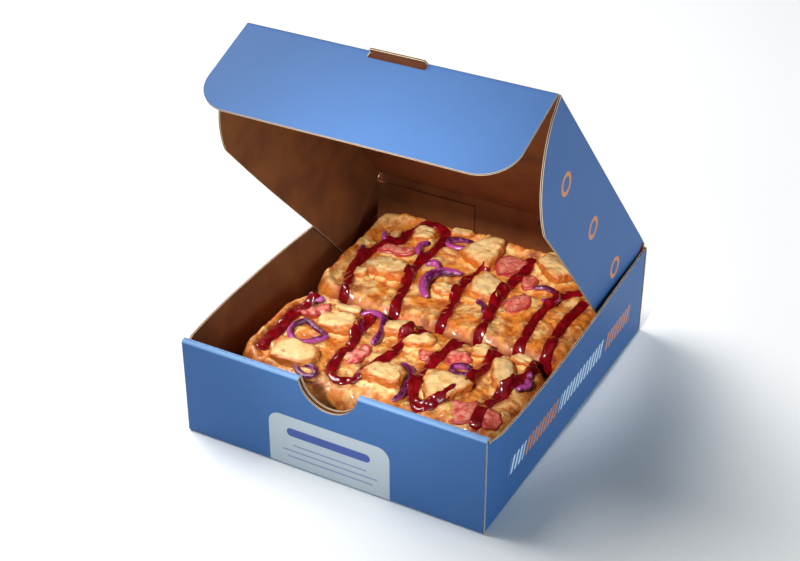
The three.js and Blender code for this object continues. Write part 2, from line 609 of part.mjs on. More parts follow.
// Puts the toppings on one slab, cuts the slab clear of them and adds all as nodes.
function dressSlab(name, slab, pieces, onions, sauce) {
  const makers = pieces.map(([kind, piece]) => [kind, (grow) => chunk(slab, { ...cuts[kind], ...piece }, grow)]);
  for (const { path, width = ONION_W, loop = false } of onions) {
    const height = ONION_H * width / ONION_W;
    const options = { sides: 5, step: 6.5, loop, arch: loop ? 0 : 1 };
    const lift = height / 2 + ONION_CLEAR;
    makers.push(['onion', (grow) => rope(slab, path, width, height, lift, { ...options, grow })]);
  }
  const taken = [];
  for (const [kind, make] of makers) {
    let solid = make(0);
    for (const other of taken) {
      solid = solid.subtract(other);
    }
    taken.push(make(TOPPING_GAP));
    counts[kind] += 1;
    const [color, roughness] = looks[kind];
    addNode(group, `${kind}_${counts[kind]}`, toGeometry(mainPiece(solid)), color, roughness);
  }
  let body = crustSlab(slab);
  for (const points of sauce) {
    let strand = rope(slab, points, SAUCE_W, SAUCE_H, 0, { sides: 6, step: 18 });
    for (const onion of taken.slice(pieces.length)) {
      strand = strand.subtract(onion);
    }
    body = body.add(strand);
  }
  for (const other of taken.slice(0, pieces.length)) {
    body = body.subtract(other);
  }
  addNode(group, name, toGeometry(mainPiece(body, SLAB_TOLERANCE)), CRUST, 0.6);
}

dressSlab('front_slab', FRONT_SLAB, frontPieces, frontOnions, frontSauce);
dressSlab('rear_slab', REAR_SLAB, rearPieces, rearOnions, rearSauce);

export default group;
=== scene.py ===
import math

import bmesh
import bpy
import numpy as np
from mathutils import Matrix, Vector


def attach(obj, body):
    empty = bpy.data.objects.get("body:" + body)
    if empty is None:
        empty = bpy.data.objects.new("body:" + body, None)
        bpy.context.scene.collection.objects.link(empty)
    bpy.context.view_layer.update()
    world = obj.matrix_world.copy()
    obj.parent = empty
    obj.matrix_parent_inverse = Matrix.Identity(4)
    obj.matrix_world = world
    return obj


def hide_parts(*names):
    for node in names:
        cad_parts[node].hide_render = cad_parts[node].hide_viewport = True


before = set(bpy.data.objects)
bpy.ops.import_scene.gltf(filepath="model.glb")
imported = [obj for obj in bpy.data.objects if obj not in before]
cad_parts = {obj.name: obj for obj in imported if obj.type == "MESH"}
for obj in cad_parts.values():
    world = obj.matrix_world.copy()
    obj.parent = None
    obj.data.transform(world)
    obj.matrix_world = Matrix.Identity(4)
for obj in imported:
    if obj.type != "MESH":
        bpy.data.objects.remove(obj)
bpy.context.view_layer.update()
mm = 0.001    # every size below is in millimetres, and meshes are made in metres

# camera, as (x, y, z) in millimetres
view = {"place": (490.0, -930.6, 758.3), "target": (-86.37, 116.78, 0.0), "roll": -0.08, "lens": 72.98}


def makeCamera():
    camera = bpy.data.objects.new("camera", bpy.data.cameras.new("camera"))
    camera.data.lens = view["lens"]
    camera.data.sensor_width = 36
    camera.data.clip_end = 50
    place = Vector(view["place"]) * mm
    look = (Vector(view["target"]) * mm - place).to_track_quat("-Z", "Y").to_matrix()
    turn = look @ Matrix.Rotation(math.radians(view["roll"]), 3, "Z")
    camera.matrix_world = Matrix.Translation(place) @ turn.to_4x4()
    bpy.context.scene.collection.objects.link(camera)
    bpy.context.scene.camera = camera


makeCamera()
print("camera placed")


# ---- small helpers

def ramp(x, start, end):
    # 0 before start, 1 after end, an S-curve between
    t = np.clip((x - start) / (end - start), 0, 1)
    return t * t * (3 - 2 * t)


def fieldNoise(points, size, seed, waves=14):
    # smooth noise around 0: sines that run in random directions, about one swell for each size
    rng = np.random.default_rng(seed)
    ways = rng.normal(size=(waves, points.shape[-1]))
    ways /= np.linalg.norm(ways, axis=1, keepdims=True)
    ways *= (rng.uniform(0.6, 1.5, waves) * 2 * np.pi / size)[:, None]
    return np.sin(points @ ways.T + rng.uniform(0, 2 * np.pi, waves)).sum(-1) / np.sqrt(waves)


def quadGrid(index):
    # the faces between neighbours of a grid of vertex numbers
    corners = [index[:-1, :-1], index[1:, :-1], index[1:, 1:], index[:-1, 1:]]
    return np.stack(corners, -1).reshape(-1, 4)


def gridSurface(points, closed=False):
    # a grid of points as a list, with the faces between neighbours; closed joins the last column to the first
    index = np.arange(points.shape[0] * points.shape[1]).reshape(points.shape[:2])
    if closed:
        index = np.concatenate([index, index[:, :1]], 1)
    return points.reshape(-1, 3), quadGrid(index)


def joinShells(shells):
    # several shells as one: their arrays one after another, with the vertex numbers moved on
    start = np.cumsum([0] + [len(shell[0]) for shell in shells])
    shells = [(points, quads + first, *rest) for (points, quads, *rest), first in zip(shells, start)]
    return [np.concatenate(part) for part in zip(*shells)]


def addPiece(name, body, points, quads, materials, kinds=None, uv=None, fields=None, weld=0.002,
             sharp=None, replaces=()):
    # a mesh from arrays, welded at its seams and poles, with its faces turned outwards
    mesh = bpy.data.meshes.new(name)
    mesh.vertices.add(len(points))
    mesh.vertices.foreach_set("co", (points * mm).astype(np.float32).ravel())
    mesh.loops.add(quads.size)
    mesh.loops.foreach_set("vertex_index", quads.astype(np.int32).ravel())
    mesh.polygons.add(len(quads))
    mesh.polygons.foreach_set("loop_start", np.arange(0, quads.size, 4, dtype=np.int32))
    for material in materials:
        mesh.materials.append(material)
    if kinds is not None:
        mesh.polygons.foreach_set("material_index", kinds.astype(np.int32))
    if uv is not None:
        mesh.uv_layers.new(name="sheet").data.foreach_set("uv", uv[quads.ravel()].astype(np.float32).ravel())
    for label, values in (fields or {}).items():
        mesh.attributes.new(label, "FLOAT", "POINT").data.foreach_set("value", values.astype(np.float32))
    mesh.update(calc_edges=True)
    bm = bmesh.new()
    bm.from_mesh(mesh)
    bmesh.ops.remove_doubles(bm, verts=bm.verts, dist=weld * mm)
    bmesh.ops.recalc_face_normals(bm, faces=bm.faces)
    bm.to_mesh(mesh)
    bm.free()
    mesh.shade_smooth()
    if sharp is not None:
        mesh.set_sharp_from_angle(angle=math.radians(sharp))
    piece = bpy.data.objects.new(name, mesh)
    bpy.context.scene.collection.objects.link(piece)
    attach(piece, body)
    if replaces:
        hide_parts(*replaces)
    print(name, len(mesh.polygons), "faces")


# ---- shader nodes

def node(tree, kind, inputs=None, **settings):
    made = tree.nodes.new(kind)
    for key, value in settings.items():
        setattr(made, key, value)
    for socket, value in (inputs or {}).items():
        if isinstance(value, bpy.types.NodeSocket):
            tree.links.new(value, made.inputs[socket])
        else:
            made.inputs[socket].default_value = value
    return made


def sums(tree, operation, *values, clamp=False):
    made = node(tree, "ShaderNodeMath", dict(enumerate(values)), operation=operation, use_clamp=clamp)
    return made.outputs[0]


def times(tree, a, b):
    return sums(tree, "MULTIPLY", a, b)


def blendColours(tree, share, a, b, way="MIX"):
    made = node(tree, "ShaderNodeMix", {0: share, 6: a, 7: b}, data_type="RGBA", blend_type=way)
    return made.outputs[2]


def steps(tree, value, low, high, bottom=0.0, top=1.0):
    made = node(tree, "ShaderNodeMapRange", {0: value, 1: low, 2: high, 3: bottom, 4: top},
                interpolation_type="SMOOTHSTEP")
    return made.outputs[0]


def colour(red, green, blue):
    # an sRGB colour, 0 to 255, as the linear one that a shader takes
    values = np.array([red, green, blue]) / 255
    linear = np.where(values <= 0.04045, values / 12.92, ((values + 0.055) / 1.055) ** 2.4)
    return (*[float(v) for v in linear], 1.0)


def shaderGroup(name, inputs, outputs):
    group = bpy.data.node_groups.new(name, "ShaderNodeTree")
    for label, value in inputs.items():
        kind = "NodeSocketVector" if value is None else "NodeSocketFloat"
        socket = group.interface.new_socket(label, in_out="INPUT", socket_type=kind)
        if value is not None:
            socket.default_value = value
    for label in outputs:
        group.interface.new_socket(label, in_out="OUTPUT", socket_type="NodeSocketFloat")
    return group, group.nodes.new("NodeGroupInput").outputs, group.nodes.new("NodeGroupOutput").inputs


def makePatches():
    # soft-edged patches of noise, for blotches, browning and fat
    group, given, result = shaderGroup(
        "patches", {"Vector": None, "Scale": 100.0, "From": 0.45, "To": 0.6}, ["Mask"])
    noise = node(group, "ShaderNodeTexNoise",
                 {"Vector": given["Vector"], "Scale": given["Scale"], "Detail": 3.0, "Roughness": 0.55})
    group.links.new(steps(group, noise.outputs["Fac"], given["From"], given["To"]), result["Mask"])
    return group


def makeGrain():
    # fine fibres of paper, or pores: a shade around 1 and a height
    group, given, result = shaderGroup(
        "grain", {"Vector": None, "Scale": 900.0, "Contrast": 0.1}, ["Shade", "Height"])
    noise = node(group, "ShaderNodeTexNoise",
                 {"Vector": given["Vector"], "Scale": given["Scale"], "Detail": 4.0, "Roughness": 0.65})
    centred = sums(group, "SUBTRACT", noise.outputs["Fac"], 0.5)
    group.links.new(sums(group, "MULTIPLY_ADD", centred, given["Contrast"], 1.0), result["Shade"])
    group.links.new(noise.outputs["Fac"], result["Height"])
    return group


def makeField():
    # a printed field: 1 inside a rectangle with round corners and 0 outside, with a soft edge
    softness = 0.2 * mm
    group, given, result = shaderGroup(
        "printedField", {"X": 0.0, "Y": 0.0, "HalfX": 0.01, "HalfY": 0.01, "Corner": 0.001}, ["Mask"])
    reach = []
    for axis, half in (("X", "HalfX"), ("Y", "HalfY")):
        size = sums(group, "SUBTRACT", given[half], given["Corner"])
        reach.append(sums(group, "SUBTRACT", sums(group, "ABSOLUTE", given[axis]), size))
    beyond = [sums(group, "MAXIMUM", value, 0.0) for value in reach]
    outside = sums(group, "SQRT", sums(group, "ADD", *[times(group, value, value) for value in beyond]))
    inside = sums(group, "MINIMUM", sums(group, "MAXIMUM", *reach), 0.0)
    distance = sums(group, "SUBTRACT", sums(group, "ADD", outside, inside), given["Corner"])
    mask = steps(group, sums(group, "DIVIDE", distance, softness), -1.0, 1.0, 1.0, 0.0)
    group.links.new(mask, result["Mask"])
    return group


patchesGroup = makePatches()
grainGroup = makeGrain()
fieldGroup = makeField()


def patches(tree, vector, scale, low, high):
    inputs = {"Vector": vector, "Scale": scale, "From": low, "To": high}
    return node(tree, "ShaderNodeGroup", inputs, node_tree=patchesGroup).outputs["Mask"]


def grain(tree, vector, scale, contrast):
    inputs = {"Vector": vector, "Scale": scale, "Contrast": contrast}
    return node(tree, "ShaderNodeGroup", inputs, node_tree=grainGroup).outputs


def printed(tree, x, y, centre, half, corner):
    inputs = {"X": sums(tree, "SUBTRACT", x, centre[0] * mm), "Y": sums(tree, "SUBTRACT", y, centre[1] * mm),
              "HalfX": half[0] * mm, "HalfY": half[1] * mm, "Corner": corner * mm}
    return node(tree, "ShaderNodeGroup", inputs, node_tree=fieldGroup).outputs["Mask"]


def newMaterial(name, roughness=0.5, **constants):
    material = bpy.data.materials.new(name)
    material.use_nodes = True
    tree = material.node_tree
    shader = tree.nodes["Principled BSDF"]
    shader.inputs["Roughness"].default_value = roughness
    for label, value in constants.items():
        shader.inputs[label.replace("_", " ")].default_value = value
    return material, tree, shader


def shaded(tree, tone, shade):
    # a colour made darker or lighter by a shade around 1
    grey = node(tree, "ShaderNodeCombineColor", {0: shade, 1: shade, 2: shade}).outputs[0]
    return blendColours(tree, 1.0, tone, grey, "MULTIPLY")


def bump(tree, shader, height, distance):
    made = node(tree, "ShaderNodeBump", {"Height": height, "Distance": distance * mm, "Strength": 1.0})
    tree.links.new(made.outputs[0], shader.inputs["Normal"])


def attribute(tree, label):
    return node(tree, "ShaderNodeAttribute", attribute_name=label).outputs["Fac"]


def grained(name, roughness, paint, scale, contrast, depth=0.0, **constants):
    # a material whose paint is a function of its tree and place, under fine grain with pores of a given depth
    material, tree, shader = newMaterial(name, roughness, **constants)
    place = node(tree, "ShaderNodeTexCoord").outputs["Object"]
    fine = grain(tree, place, scale, contrast)
    tree.links.new(shaded(tree, paint(tree, place), fine["Shade"]), shader.inputs["Base Color"])
    if depth:
        bump(tree, shader, fine["Height"], depth)
    return material


# ---- cardboard

# half is half the board's thickness, and liner where its fluted middle ends; bow is how far a side wall
# bulges and where (below 1 is towards the front); splay is how many degrees a side flap leans at each end
board = {
    "half": 0.8, "liner": 0.4, "pitch": 3.15, "swing": 0.26, "recess": 0.9,
    "halfWidth": 125.0, "halfDepth": 146.5, "sideHeight": 77.3, "sideRise": 2.2, "riseFrom": -50.0,
    "flapHeight": 76.5, "frontHeight": 82.7, "frontDepth": 5.8, "rollRadius": 1.3, "foldRadius": 0.85,
    "bowLeft": (8.6, 0.75), "bowRight": (5.0, 0.57), "bowPower": 1.3, "fadeFront": (-142.4, -130.0),
    "fadeRear": (-143.5, -132.0), "notchRadius": 25.0, "notchHeight": 85.9, "flapEnd": 29.0,
    "rearTopHalf": 122.6, "hingeY": 145.7, "hingeZ": 84.1, "open": 48.0, "sideFold": 121.3,
    "frontFold": 285.2, "tabX": 2.7, "tabRoot": 22.2, "tabTip": 21.2, "tabReach": 6.0,
    "tuckHalf": 120.1, "tuckLength": 81.3, "tuckCorner": 27.0, "tuckAngle": 111.0, "slotGap": 0.4,
    "flapFrom": 3.3, "flapTo": 283.9, "flapDepth": 80.0, "noseRadius": 75.0, "noseAlong": 209.6,
    "noseDepth": 7.7, "tail": 12.0, "splayLeft": (-0.6, 7.2), "splayRight": (0.0, 3.0), "play": 0.02,
    "cornerFlaps": (-143.15, 144.1), "floorEnds": (-142.4, 144.9), "sharp": 38,
    "ribs": 0.05, "frontWave": 0.25, "rearWave": 0.2, "lidSag": 0.5, "tuckCurl": 0.35, "flapWarp": 0.25,
}
# print colours; the pale blue for the rolled top of the front wall is a painted highlight, not ink
printColours = {
    "blue": colour(62, 100, 152), "rollHighlight": colour(140, 178, 222), "label": colour(178, 186, 192),
    "white": colour(214, 224, 236), "orange": colour(222, 138, 84), "ink": colour(70, 88, 150),
}
kraftColours = {"paper": colour(142, 76, 28), "dark": colour(116, 58, 20), "cut": colour(236, 214, 182),
                "flute": colour(150, 100, 62)}


def flutedCut(c, w):
    # how far a cut edge lies back: both liners stand out, and between them only the wave of fluted paper does
    wave = board["swing"] * np.sin(2 * np.pi * c / board["pitch"])
    paper = np.exp(-((w - wave) / 0.15) ** 2)
    return np.where(np.abs(w) < board["liner"], board["recess"] * (1 - 0.9 * paper), 0.0)


def bead(c, w):
    # the round outside of a fold, standing out by half the board
    return -np.sqrt(np.maximum(board["half"] ** 2 - w ** 2, 0))


def cup(c, w):
    # a hollow end that closes round the bead of the piece it is folded to
    return np.sqrt((board["half"] + board["play"]) ** 2 - w ** 2)


def flat(c, w):
    return np.zeros_like(w)


def boardShell(columns, along, place, low=flutedCut, high=flutedCut, first=flutedCut, last=flutedCut):
    # a sheet as a box of points: columns run across the flutes, along[i] is how column i runs from end to end
    # with them, and the levels go through the thickness. Only the six outer faces are kept.
    lip = board["liner"]
    inner = np.linspace(-lip + 0.02, lip - 0.02, 7)
    levels = np.concatenate([[-board["half"], -lip], inner, [lip, board["half"]]])
    shape = (len(columns), along.shape[1], len(levels))
    c = np.broadcast_to(columns[:, None, None], shape).copy()
    e = np.broadcast_to(along[:, :, None], shape).copy()
    w = np.broadcast_to(levels, shape).copy()
    for row, sign, end in ((0, 1, low), (-1, -1, high)):
        slope = np.gradient(along[:, row], columns)
        length = np.hypot(1, slope)
        depth = end(c[:, row], w[:, row])
        c[:, row] -= (sign * slope / length)[:, None] * depth
        e[:, row] += (sign / length)[:, None] * depth
    for column, sign, end in ((0, 1, first), (-1, -1, last)):
        c[column] += sign * end(c[column], w[column])
    index = np.arange(c.size).reshape(shape)
    lips = np.zeros(len(levels) - 1, int) + 3
    lips[[0, -1]] = 2
    sides = [
        (quadGrid(index[:, :, -1]), 0), (quadGrid(index[:, ::-1, 0]), 1),
        (quadGrid(index[:, 0, :]), lips), (quadGrid(index[:, -1, ::-1]), lips[::-1]),
        (quadGrid(index[0, :, ::-1]), lips[::-1]), (quadGrid(index[-1, :, :]), lips),
    ]
    quads = np.concatenate([faces for faces, _ in sides])
    kinds = np.concatenate([
        np.full(len(faces), kind) if np.isscalar(kind) else np.tile(kind, len(faces) // len(kind))
        for faces, kind in sides])
    used, quads = np.unique(quads, return_inverse=True)
    points = place(c.ravel()[used], e.ravel()[used], w.ravel()[used])
    uv = np.stack([c.ravel()[used], e.ravel()[used]], -1) / 100
    return points, quads.reshape(-1, 4), kinds, uv


def addBoard(name, body, shells, outside, replaces=()):
    points, quads, kinds, uv = joinShells(shells)
    addPiece(name, body, points, quads, [outside, kraftPaper, linerCut, flutePaper], kinds, uv,
             sharp=board["sharp"], replaces=replaces)


def foldedPath(corners, radii, step, side=1):
    # a line with rounded corners: its length at each sample, its points, and its normals to the left
    corners = np.array(corners, float)
    runs = np.diff(corners, axis=0)
    lengths = np.linalg.norm(runs, axis=1)
    ways = runs / lengths[:, None]
    left = np.stack([-ways[:, 1], ways[:, 0]], -1)
    points, normals = [corners[:1]], [left[:1]]
    for i in range(len(runs)):
        before = radii[i - 1] if i > 0 else 0
        after = radii[i] if i < len(runs) - 1 else 0
        start = corners[i] + ways[i] * before
        end = corners[i + 1] - ways[i] * after
        count = max(2, int(np.linalg.norm(end - start) / step) + 1)
        share = np.linspace(0, 1, count)[1 if i == 0 else 0:, None]
        points.append(start + (end - start) * share)
        normals.append(np.repeat(left[i:i + 1], len(share), 0))
        if i < len(runs) - 1:
            turn = math.copysign(1, ways[i][0] * ways[i + 1][1] - ways[i][1] * ways[i + 1][0])
            centre = end + left[i] * turn * after
            angle = np.linspace(0, np.pi / 2, 9)[1:-1, None]
            outward = -left[i] * turn * np.cos(angle) + ways[i] * np.sin(angle)
            points.append(centre + outward * after)
            normals.append(-outward * turn)
    points = np.concatenate(points)
    s = np.concatenate([[0], np.cumsum(np.linalg.norm(np.diff(points, axis=0), axis=1))])
    keep = np.concatenate([[True], np.diff(s) > 1e-6])
    return s[keep], points[keep], (np.concatenate(normals) * side)[keep]


def followPath(path, s, w):
    # the point at length s along a folded path, w outside its middle
    lengths, points, normals = path
    at = [np.interp(s, lengths, points[:, k]) for k in (0, 1)]
    out = [np.interp(s, lengths, normals[:, k]) for k in (0, 1)]
    size = np.hypot(*out)
    return at[0] + out[0] / size * w, at[1] + out[1] / size * w


def bulge(side, y, z):
    # how far a side wall bows outwards: most in front of its middle, and more towards its top
    share = np.clip((y + board["halfDepth"]) / (2 * board["halfDepth"]), 0, 1)
    fade = ramp(y, *board["fadeFront"]) * ramp(-y, *board["fadeRear"])
    most, skew = board["bowLeft"] if side < 0 else board["bowRight"]
    lean = (np.clip(z, 0, 80) / board["sideHeight"]) ** board["bowPower"]
    return side * most * np.sin(np.pi * share ** skew) * lean * fade


def makeFrontWall(material):
    # one folded strip: out under the front, up, over the top and down inside, with the thumb notch cut out
    outer = -board["halfDepth"] + board["half"]
    inner = outer + board["frontDepth"] - 2 * board["half"]
    top = board["frontHeight"] - board["half"]
    roll, fold = board["rollRadius"], board["foldRadius"]
    middle = (outer + inner) / 2
    low = board["half"]
    outerPath = foldedPath([(outer + 3.3, low), (outer, low), (outer, top), (middle, top)], [fold, roll], 5)
    innerPath = foldedPath([(middle, top), (inner, top), (inner, 2 * low)], [roll], 5)
    reach = board["notchRadius"] - 0.3
    half = board["halfWidth"]
    flank = np.arange(reach + 0.02, half, 0.45)
    flank[-1] = half
    notch = reach * np.sin(np.radians(np.linspace(-90, 90, 191)))
    columns = np.concatenate([-flank[::-1], notch, flank])
    cut = board["notchHeight"] - np.sqrt(np.maximum(board["notchRadius"] ** 2 - columns ** 2, 0))
    opened = np.abs(columns) <= reach

    def place(path):
        def put(c, e, w):
            ribs = board["ribs"] * np.cos(2 * np.pi * c / board["pitch"]) * (w > 0.7)
            y, z = followPath(path, e, w)
            ribs = ribs * ramp(z, 76, 81)
            wave = np.sin(c / 41 + 1) * np.sin(np.pi * np.clip(z / 80, 0, 1))
            soft = board["frontWave"] * wave * (y < middle)
            return np.stack([c, y - soft, z + ribs], -1)
        return put

    outerS, outerPoints, _ = outerPath
    total = outerS[-1]
    rising = outerPoints[:, 1] >= low
    climb = np.maximum.accumulate(outerPoints[rising, 1]) + 1e-6 * np.arange(rising.sum())
    end = np.where(opened, np.interp(cut, climb, outerS[rising]), total)
    keep = 8.0    # the fold below stays as it is, and only what is above it shortens at the notch
    along = np.where(outerS < keep, outerS, keep + (outerS - keep) * (end[:, None] - keep) / (total - keep))

    def joined(c, w):
        return np.where(np.abs(c) <= reach, flutedCut(c, w), 0.0)

    outerShell = boardShell(columns, along, place(outerPath), high=joined)
    innerS, innerPoints, _ = innerPath
    falling = innerPoints[::-1, 1]
    depth = np.interp(cut, falling + 1e-6 * np.arange(len(falling)), innerS[::-1])
    begin = np.where(opened, depth, 0.0)
    along = begin[:, None] + (innerS[-1] - begin[:, None]) * (innerS / innerS[-1])
    innerShell = boardShell(columns, along, place(innerPath), low=joined)
    addBoard("trayFront", "box", [outerShell, innerShell], material, ["tray"])


def makeTraySides(materials):
    # each side wall with its front and rear corner flaps, one sheet folded round two corners in plan
    fold = board["foldRadius"]
    mid = board["halfWidth"] - board["half"]
    front, rear = board["cornerFlaps"]
    for side, name in ((-1, "trayLeft"), (1, "trayRight")):
        corners = [(side * board["flapEnd"], front), (side * mid, front), (side * mid, rear),
                   (side * board["flapEnd"], rear)]
        path = foldedPath(corners, [fold, fold], 4, -side)
        s, points, _ = path
        columns = np.concatenate([np.linspace(1.6, 76.5, 26), [board["sideHeight"]]])
        onWall = np.abs(points[:, 0]) > mid - 0.01
        first, last = s[onWall][0], s[onWall][-1]

        def put(c, e, w):
            x, y = followPath(path, e, w)
            wall = ramp(e, first - 1, first) * ramp(-e, -last - 1, -last)
            share = np.clip((y - board["riseFrom"]) / (board["halfDepth"] - board["riseFrom"]), 0, 1)
            taller = c * (1 + board["sideRise"] * share / board["sideHeight"])
            height = np.where(wall > 0.5, taller, np.minimum(c, board["flapHeight"]))
            return np.stack([x + bulge(side, y, height) * wall, y, height], -1)

        along = np.broadcast_to(s, (len(columns), len(s)))
        points, quads, kinds, uv = boardShell(columns, along, put, first=flat)
        # the cut ends of the rear flaps lie in the dark and take the brown of the paper: painted shade
        shadedCutEnds = (kinds > 1) & (points[quads].mean(1)[:, 1] > rear - 2.1)
        addBoard(name, "box", [(points, quads, np.where(shadedCutEnds, 1, kinds), uv)], materials[side])


def makeFloorAndRear(material):
    # the floor between its two side folds, and the rear wall above its own fold
    mid, low, fold = board["halfWidth"] - board["half"], board["half"], board["foldRadius"]
    floorPath = foldedPath([(-mid, 2 * low), (-mid, low - 0.001), (mid, low - 0.001), (mid, 2 * low)],
                           [0.8, 0.8], 6, -1)
    s = floorPath[0]
    rows = np.linspace(*board["floorEnds"], 48)

    def putFloor(c, e, w):
        x, z = followPath(floorPath, c, w)
        return np.stack([x, e, z], -1)

    floor = boardShell(s, np.broadcast_to(rows, (len(s), len(rows))), putFloor, flat, flat, flat, flat)
    rear = board["halfDepth"] - board["half"]
    rearPath = foldedPath([(rear - 0.8, low), (rear, low), (rear, board["hingeZ"])], [0.8], 5, -1)
    s = rearPath[0]
    edge = board["rearTopHalf"]
    flank = [edge + 0.01, board["halfWidth"]]
    columns = np.concatenate([-np.array(flank[::-1]), np.linspace(-edge, edge, 60), flank])
    lower = board["hingeZ"] - board["sideHeight"] - board["sideRise"]
    end = np.where(np.abs(columns) > edge, s[-1] - lower, s[-1])

    def rearEnd(c, w):
        return np.where(np.abs(c) > edge, 0.0, cup(c, w))

    def putRear(c, e, w):
        y, z = followPath(rearPath, e, w)
        return np.stack([c, y + board["rearWave"] * np.sin(c / 50) * np.sin(np.pi * z / 84), z], -1)

    wall = boardShell(columns, end[:, None] * (s / s[-1]), putRear, flat, rearEnd)
    addBoard("trayFloor", "box", [floor, wall], material)


openAngle = math.radians(board["open"])


def onLid(x, a, n):
    # from the lid's own directions, a along it from the hinge and n out of its upper face, to the frame's
    y = board["hingeY"] - a * math.cos(openAngle) + n * math.sin(openAngle)
    z = board["hingeZ"] + a * math.sin(openAngle) + n * math.cos(openAngle)
    return np.stack([x, y, z], -1)


def makeLidPanel(material):
    half, root, tip, shift = board["sideFold"], board["tabRoot"], board["tabTip"], board["tabX"]
    fold, reach = board["frontFold"], board["frontFold"] + board["tabReach"]
    outer = np.arange(root + 0.6, half, 0.6)
    outer[-1] = half
    columns = np.concatenate([
        -outer[::-1], [-root - 0.01], np.linspace(-root, -tip, 5), np.linspace(-tip, tip, 140)[1:-1],
        np.linspace(tip, root, 5), [root + 0.01], outer])
    end = np.interp(np.abs(columns), [tip, root, root + 0.005], [reach, fold, fold])
    rows = np.linspace(0, 1, 46)
    along = rows * end[:, None]

    def frontEnd(c, w):
        return np.where(np.abs(c) < root, flutedCut(c, w), cup(c, w) + 0.9 * ramp(-w, 0, 0.8))

    def put(c, e, w):
        dome = np.sin(np.pi * np.clip(e / fold, 0, 1)) * np.sin(np.pi * (c / half + 1) / 2)
        sag = board["lidSag"] * dome
        return onLid(c + shift * ramp(-np.abs(c), -half, -root - 4), e, w - sag)

    shell = boardShell(columns, along, put, low=bead, high=frontEnd, first=cup, last=cup)
    addBoard("lidTop", "lid", [shell], material, ["lid_panel"])


def makeTuckFlap(material):
    half, length, corner, shift = board["tuckHalf"], board["tuckLength"], board["tuckCorner"], board["tabX"]
    slot = board["tabRoot"] + board["slotGap"]
    bend = math.radians(180 - board["tuckAngle"])
    straight = half - corner
    flank = np.linspace(slot + 0.01, straight, 220)[:-1]
    middle = np.concatenate([-flank[::-1], np.linspace(-slot, slot, 150), flank])
    curve = straight + corner * np.sin(np.radians(np.linspace(0, 90, 70)))
    columns = np.concatenate([-curve[::-1], middle, curve])
    past = np.maximum(np.abs(columns) - straight, 0)
    end = length - corner + np.sqrt(np.maximum(corner ** 2 - past ** 2, 0))
    begin = np.where(np.abs(columns) <= slot, board["tabReach"] + board["slotGap"], 0.0)
    rows = np.linspace(0, 1, 24)
    along = begin[:, None] + (end - begin)[:, None] * rows

    def foldEnd(c, w):
        return np.where(np.abs(c) <= slot, flutedCut(c, w), bead(c, w))

    def put(c, e, w):
        curl = board["tuckCurl"] * np.sin(c / 60 + 0.6) * ramp(e, 10, length)
        out = w + curl
        x = c + shift * ramp(-np.abs(c), -straight, -slot - 4)
        return onLid(x, board["frontFold"] + math.cos(bend) * e + math.sin(bend) * out,
                     -math.sin(bend) * e + math.cos(bend) * out)

    shell = boardShell(columns, along, put, low=foldEnd)
    addBoard("tuckFront", "tuck", [shell], material, ["tuck_flap"])


def makeSideFlaps(materials):
    depth, tail = board["flapDepth"], board["tail"]
    even = 66.0    # columns are evenly spaced up to here, and closer together along the round corner
    arc = np.cos(np.radians(np.linspace(0, 90, 60)))
    d = np.concatenate([np.arange(0, even, 0.45), depth - (depth - even) * arc])
    rounded = np.sqrt(np.maximum(board["noseRadius"] ** 2 - np.maximum(d - board["noseDepth"], 0) ** 2, 0))
    end = np.minimum(board["noseAlong"] + rounded, board["flapTo"])
    past = np.clip((d - (depth - tail)) / tail, 0, 1)
    begin = board["flapFrom"] + tail * (1 - np.sqrt(1 - past ** 2))
    along = begin[:, None] + (end - begin)[:, None] * np.linspace(0, 1, 56)
    flaps = ((-1, "flapLeft", "left_side", "left_flap"), (1, "flapRight", "right_side", "right_flap"))
    for side, name, body, replaced in flaps:
        splay = board["splayLeft"] if side < 0 else board["splayRight"]

        def put(c, e, w):
            lean = np.radians(splay[0] + (splay[1] - splay[0]) * ramp(e, 30, 200))
            warp = board["flapWarp"] * np.sin(e / 47 + side) * ramp(c, 5, 70)
            out = w + warp
            x = side * (board["sideFold"] + np.cos(lean) * out + np.sin(lean) * c)
            return onLid(x, e, np.sin(lean) * out - np.cos(lean) * c)

        shell = boardShell(d, along, put, first=bead)
        addBoard(name, body, [shell], materials[side], [replaced])


# what is printed, and where a painted highlight lies along the rolled top: a field is its centre, its half
# size and its corner, and a run is its start, end and colour
marks = {
    "frontFace": -145.0, "rightFace": 124.5, "foldLine": 0.8, "rollHighlightFrom": (80.0, 81.8),
    "label": ((-0.8, 18.0), (50.6, 28.0), 10.0), "heading": ((-1.0, 32.0), (35.0, 3.6), 3.6),
    "rules": [(20.5, 31.0), (15.0, 40.0), (9.5, 36.0)], "ruleHalf": 0.7,
    "stroke": ((3.1, 34.5), (1.7, 7.6), 0.6), "strokePitch": 6.2, "slant": -0.25, "strokeShift": 8.6,
    "runs": [(-109.5, -85.5, "white"), (-82.5, -27.5, "orange"), (-24.0, 59.5, "white"),
             (65.5, 117.5, "orange")],
    "rings": [(38.0, 222.0), (38.0, 135.0), (40.0, 51.0)], "ringRadii": (9.0, 5.6),
}


def boardMaterial(name, roughness, paint, **constants):
    # printed or plain liner: paper grain, and the washboard of the flutes underneath
    material, tree, shader = newMaterial(name, roughness, **constants)
    place = node(tree, "ShaderNodeTexCoord").outputs["Object"]
    fibres = grain(tree, place, 1400.0, 0.10)
    clouds = grain(tree, place, 26.0, 0.14)
    sheet = node(tree, "ShaderNodeUVMap", uv_map="sheet").outputs[0]
    across = node(tree, "ShaderNodeSeparateXYZ", {0: sheet}).outputs[0]
    flutes = sums(tree, "SINE", times(tree, across, 200 * math.pi / board["pitch"]))
    bump(tree, shader, sums(tree, "MULTIPLY_ADD", flutes, 0.012, times(tree, fibres["Height"], 0.03)), 1.0)
    shade = times(tree, fibres["Shade"], clouds["Shade"])
    tree.links.new(shaded(tree, paint(tree, place), shade), shader.inputs["Base Color"])
    return material


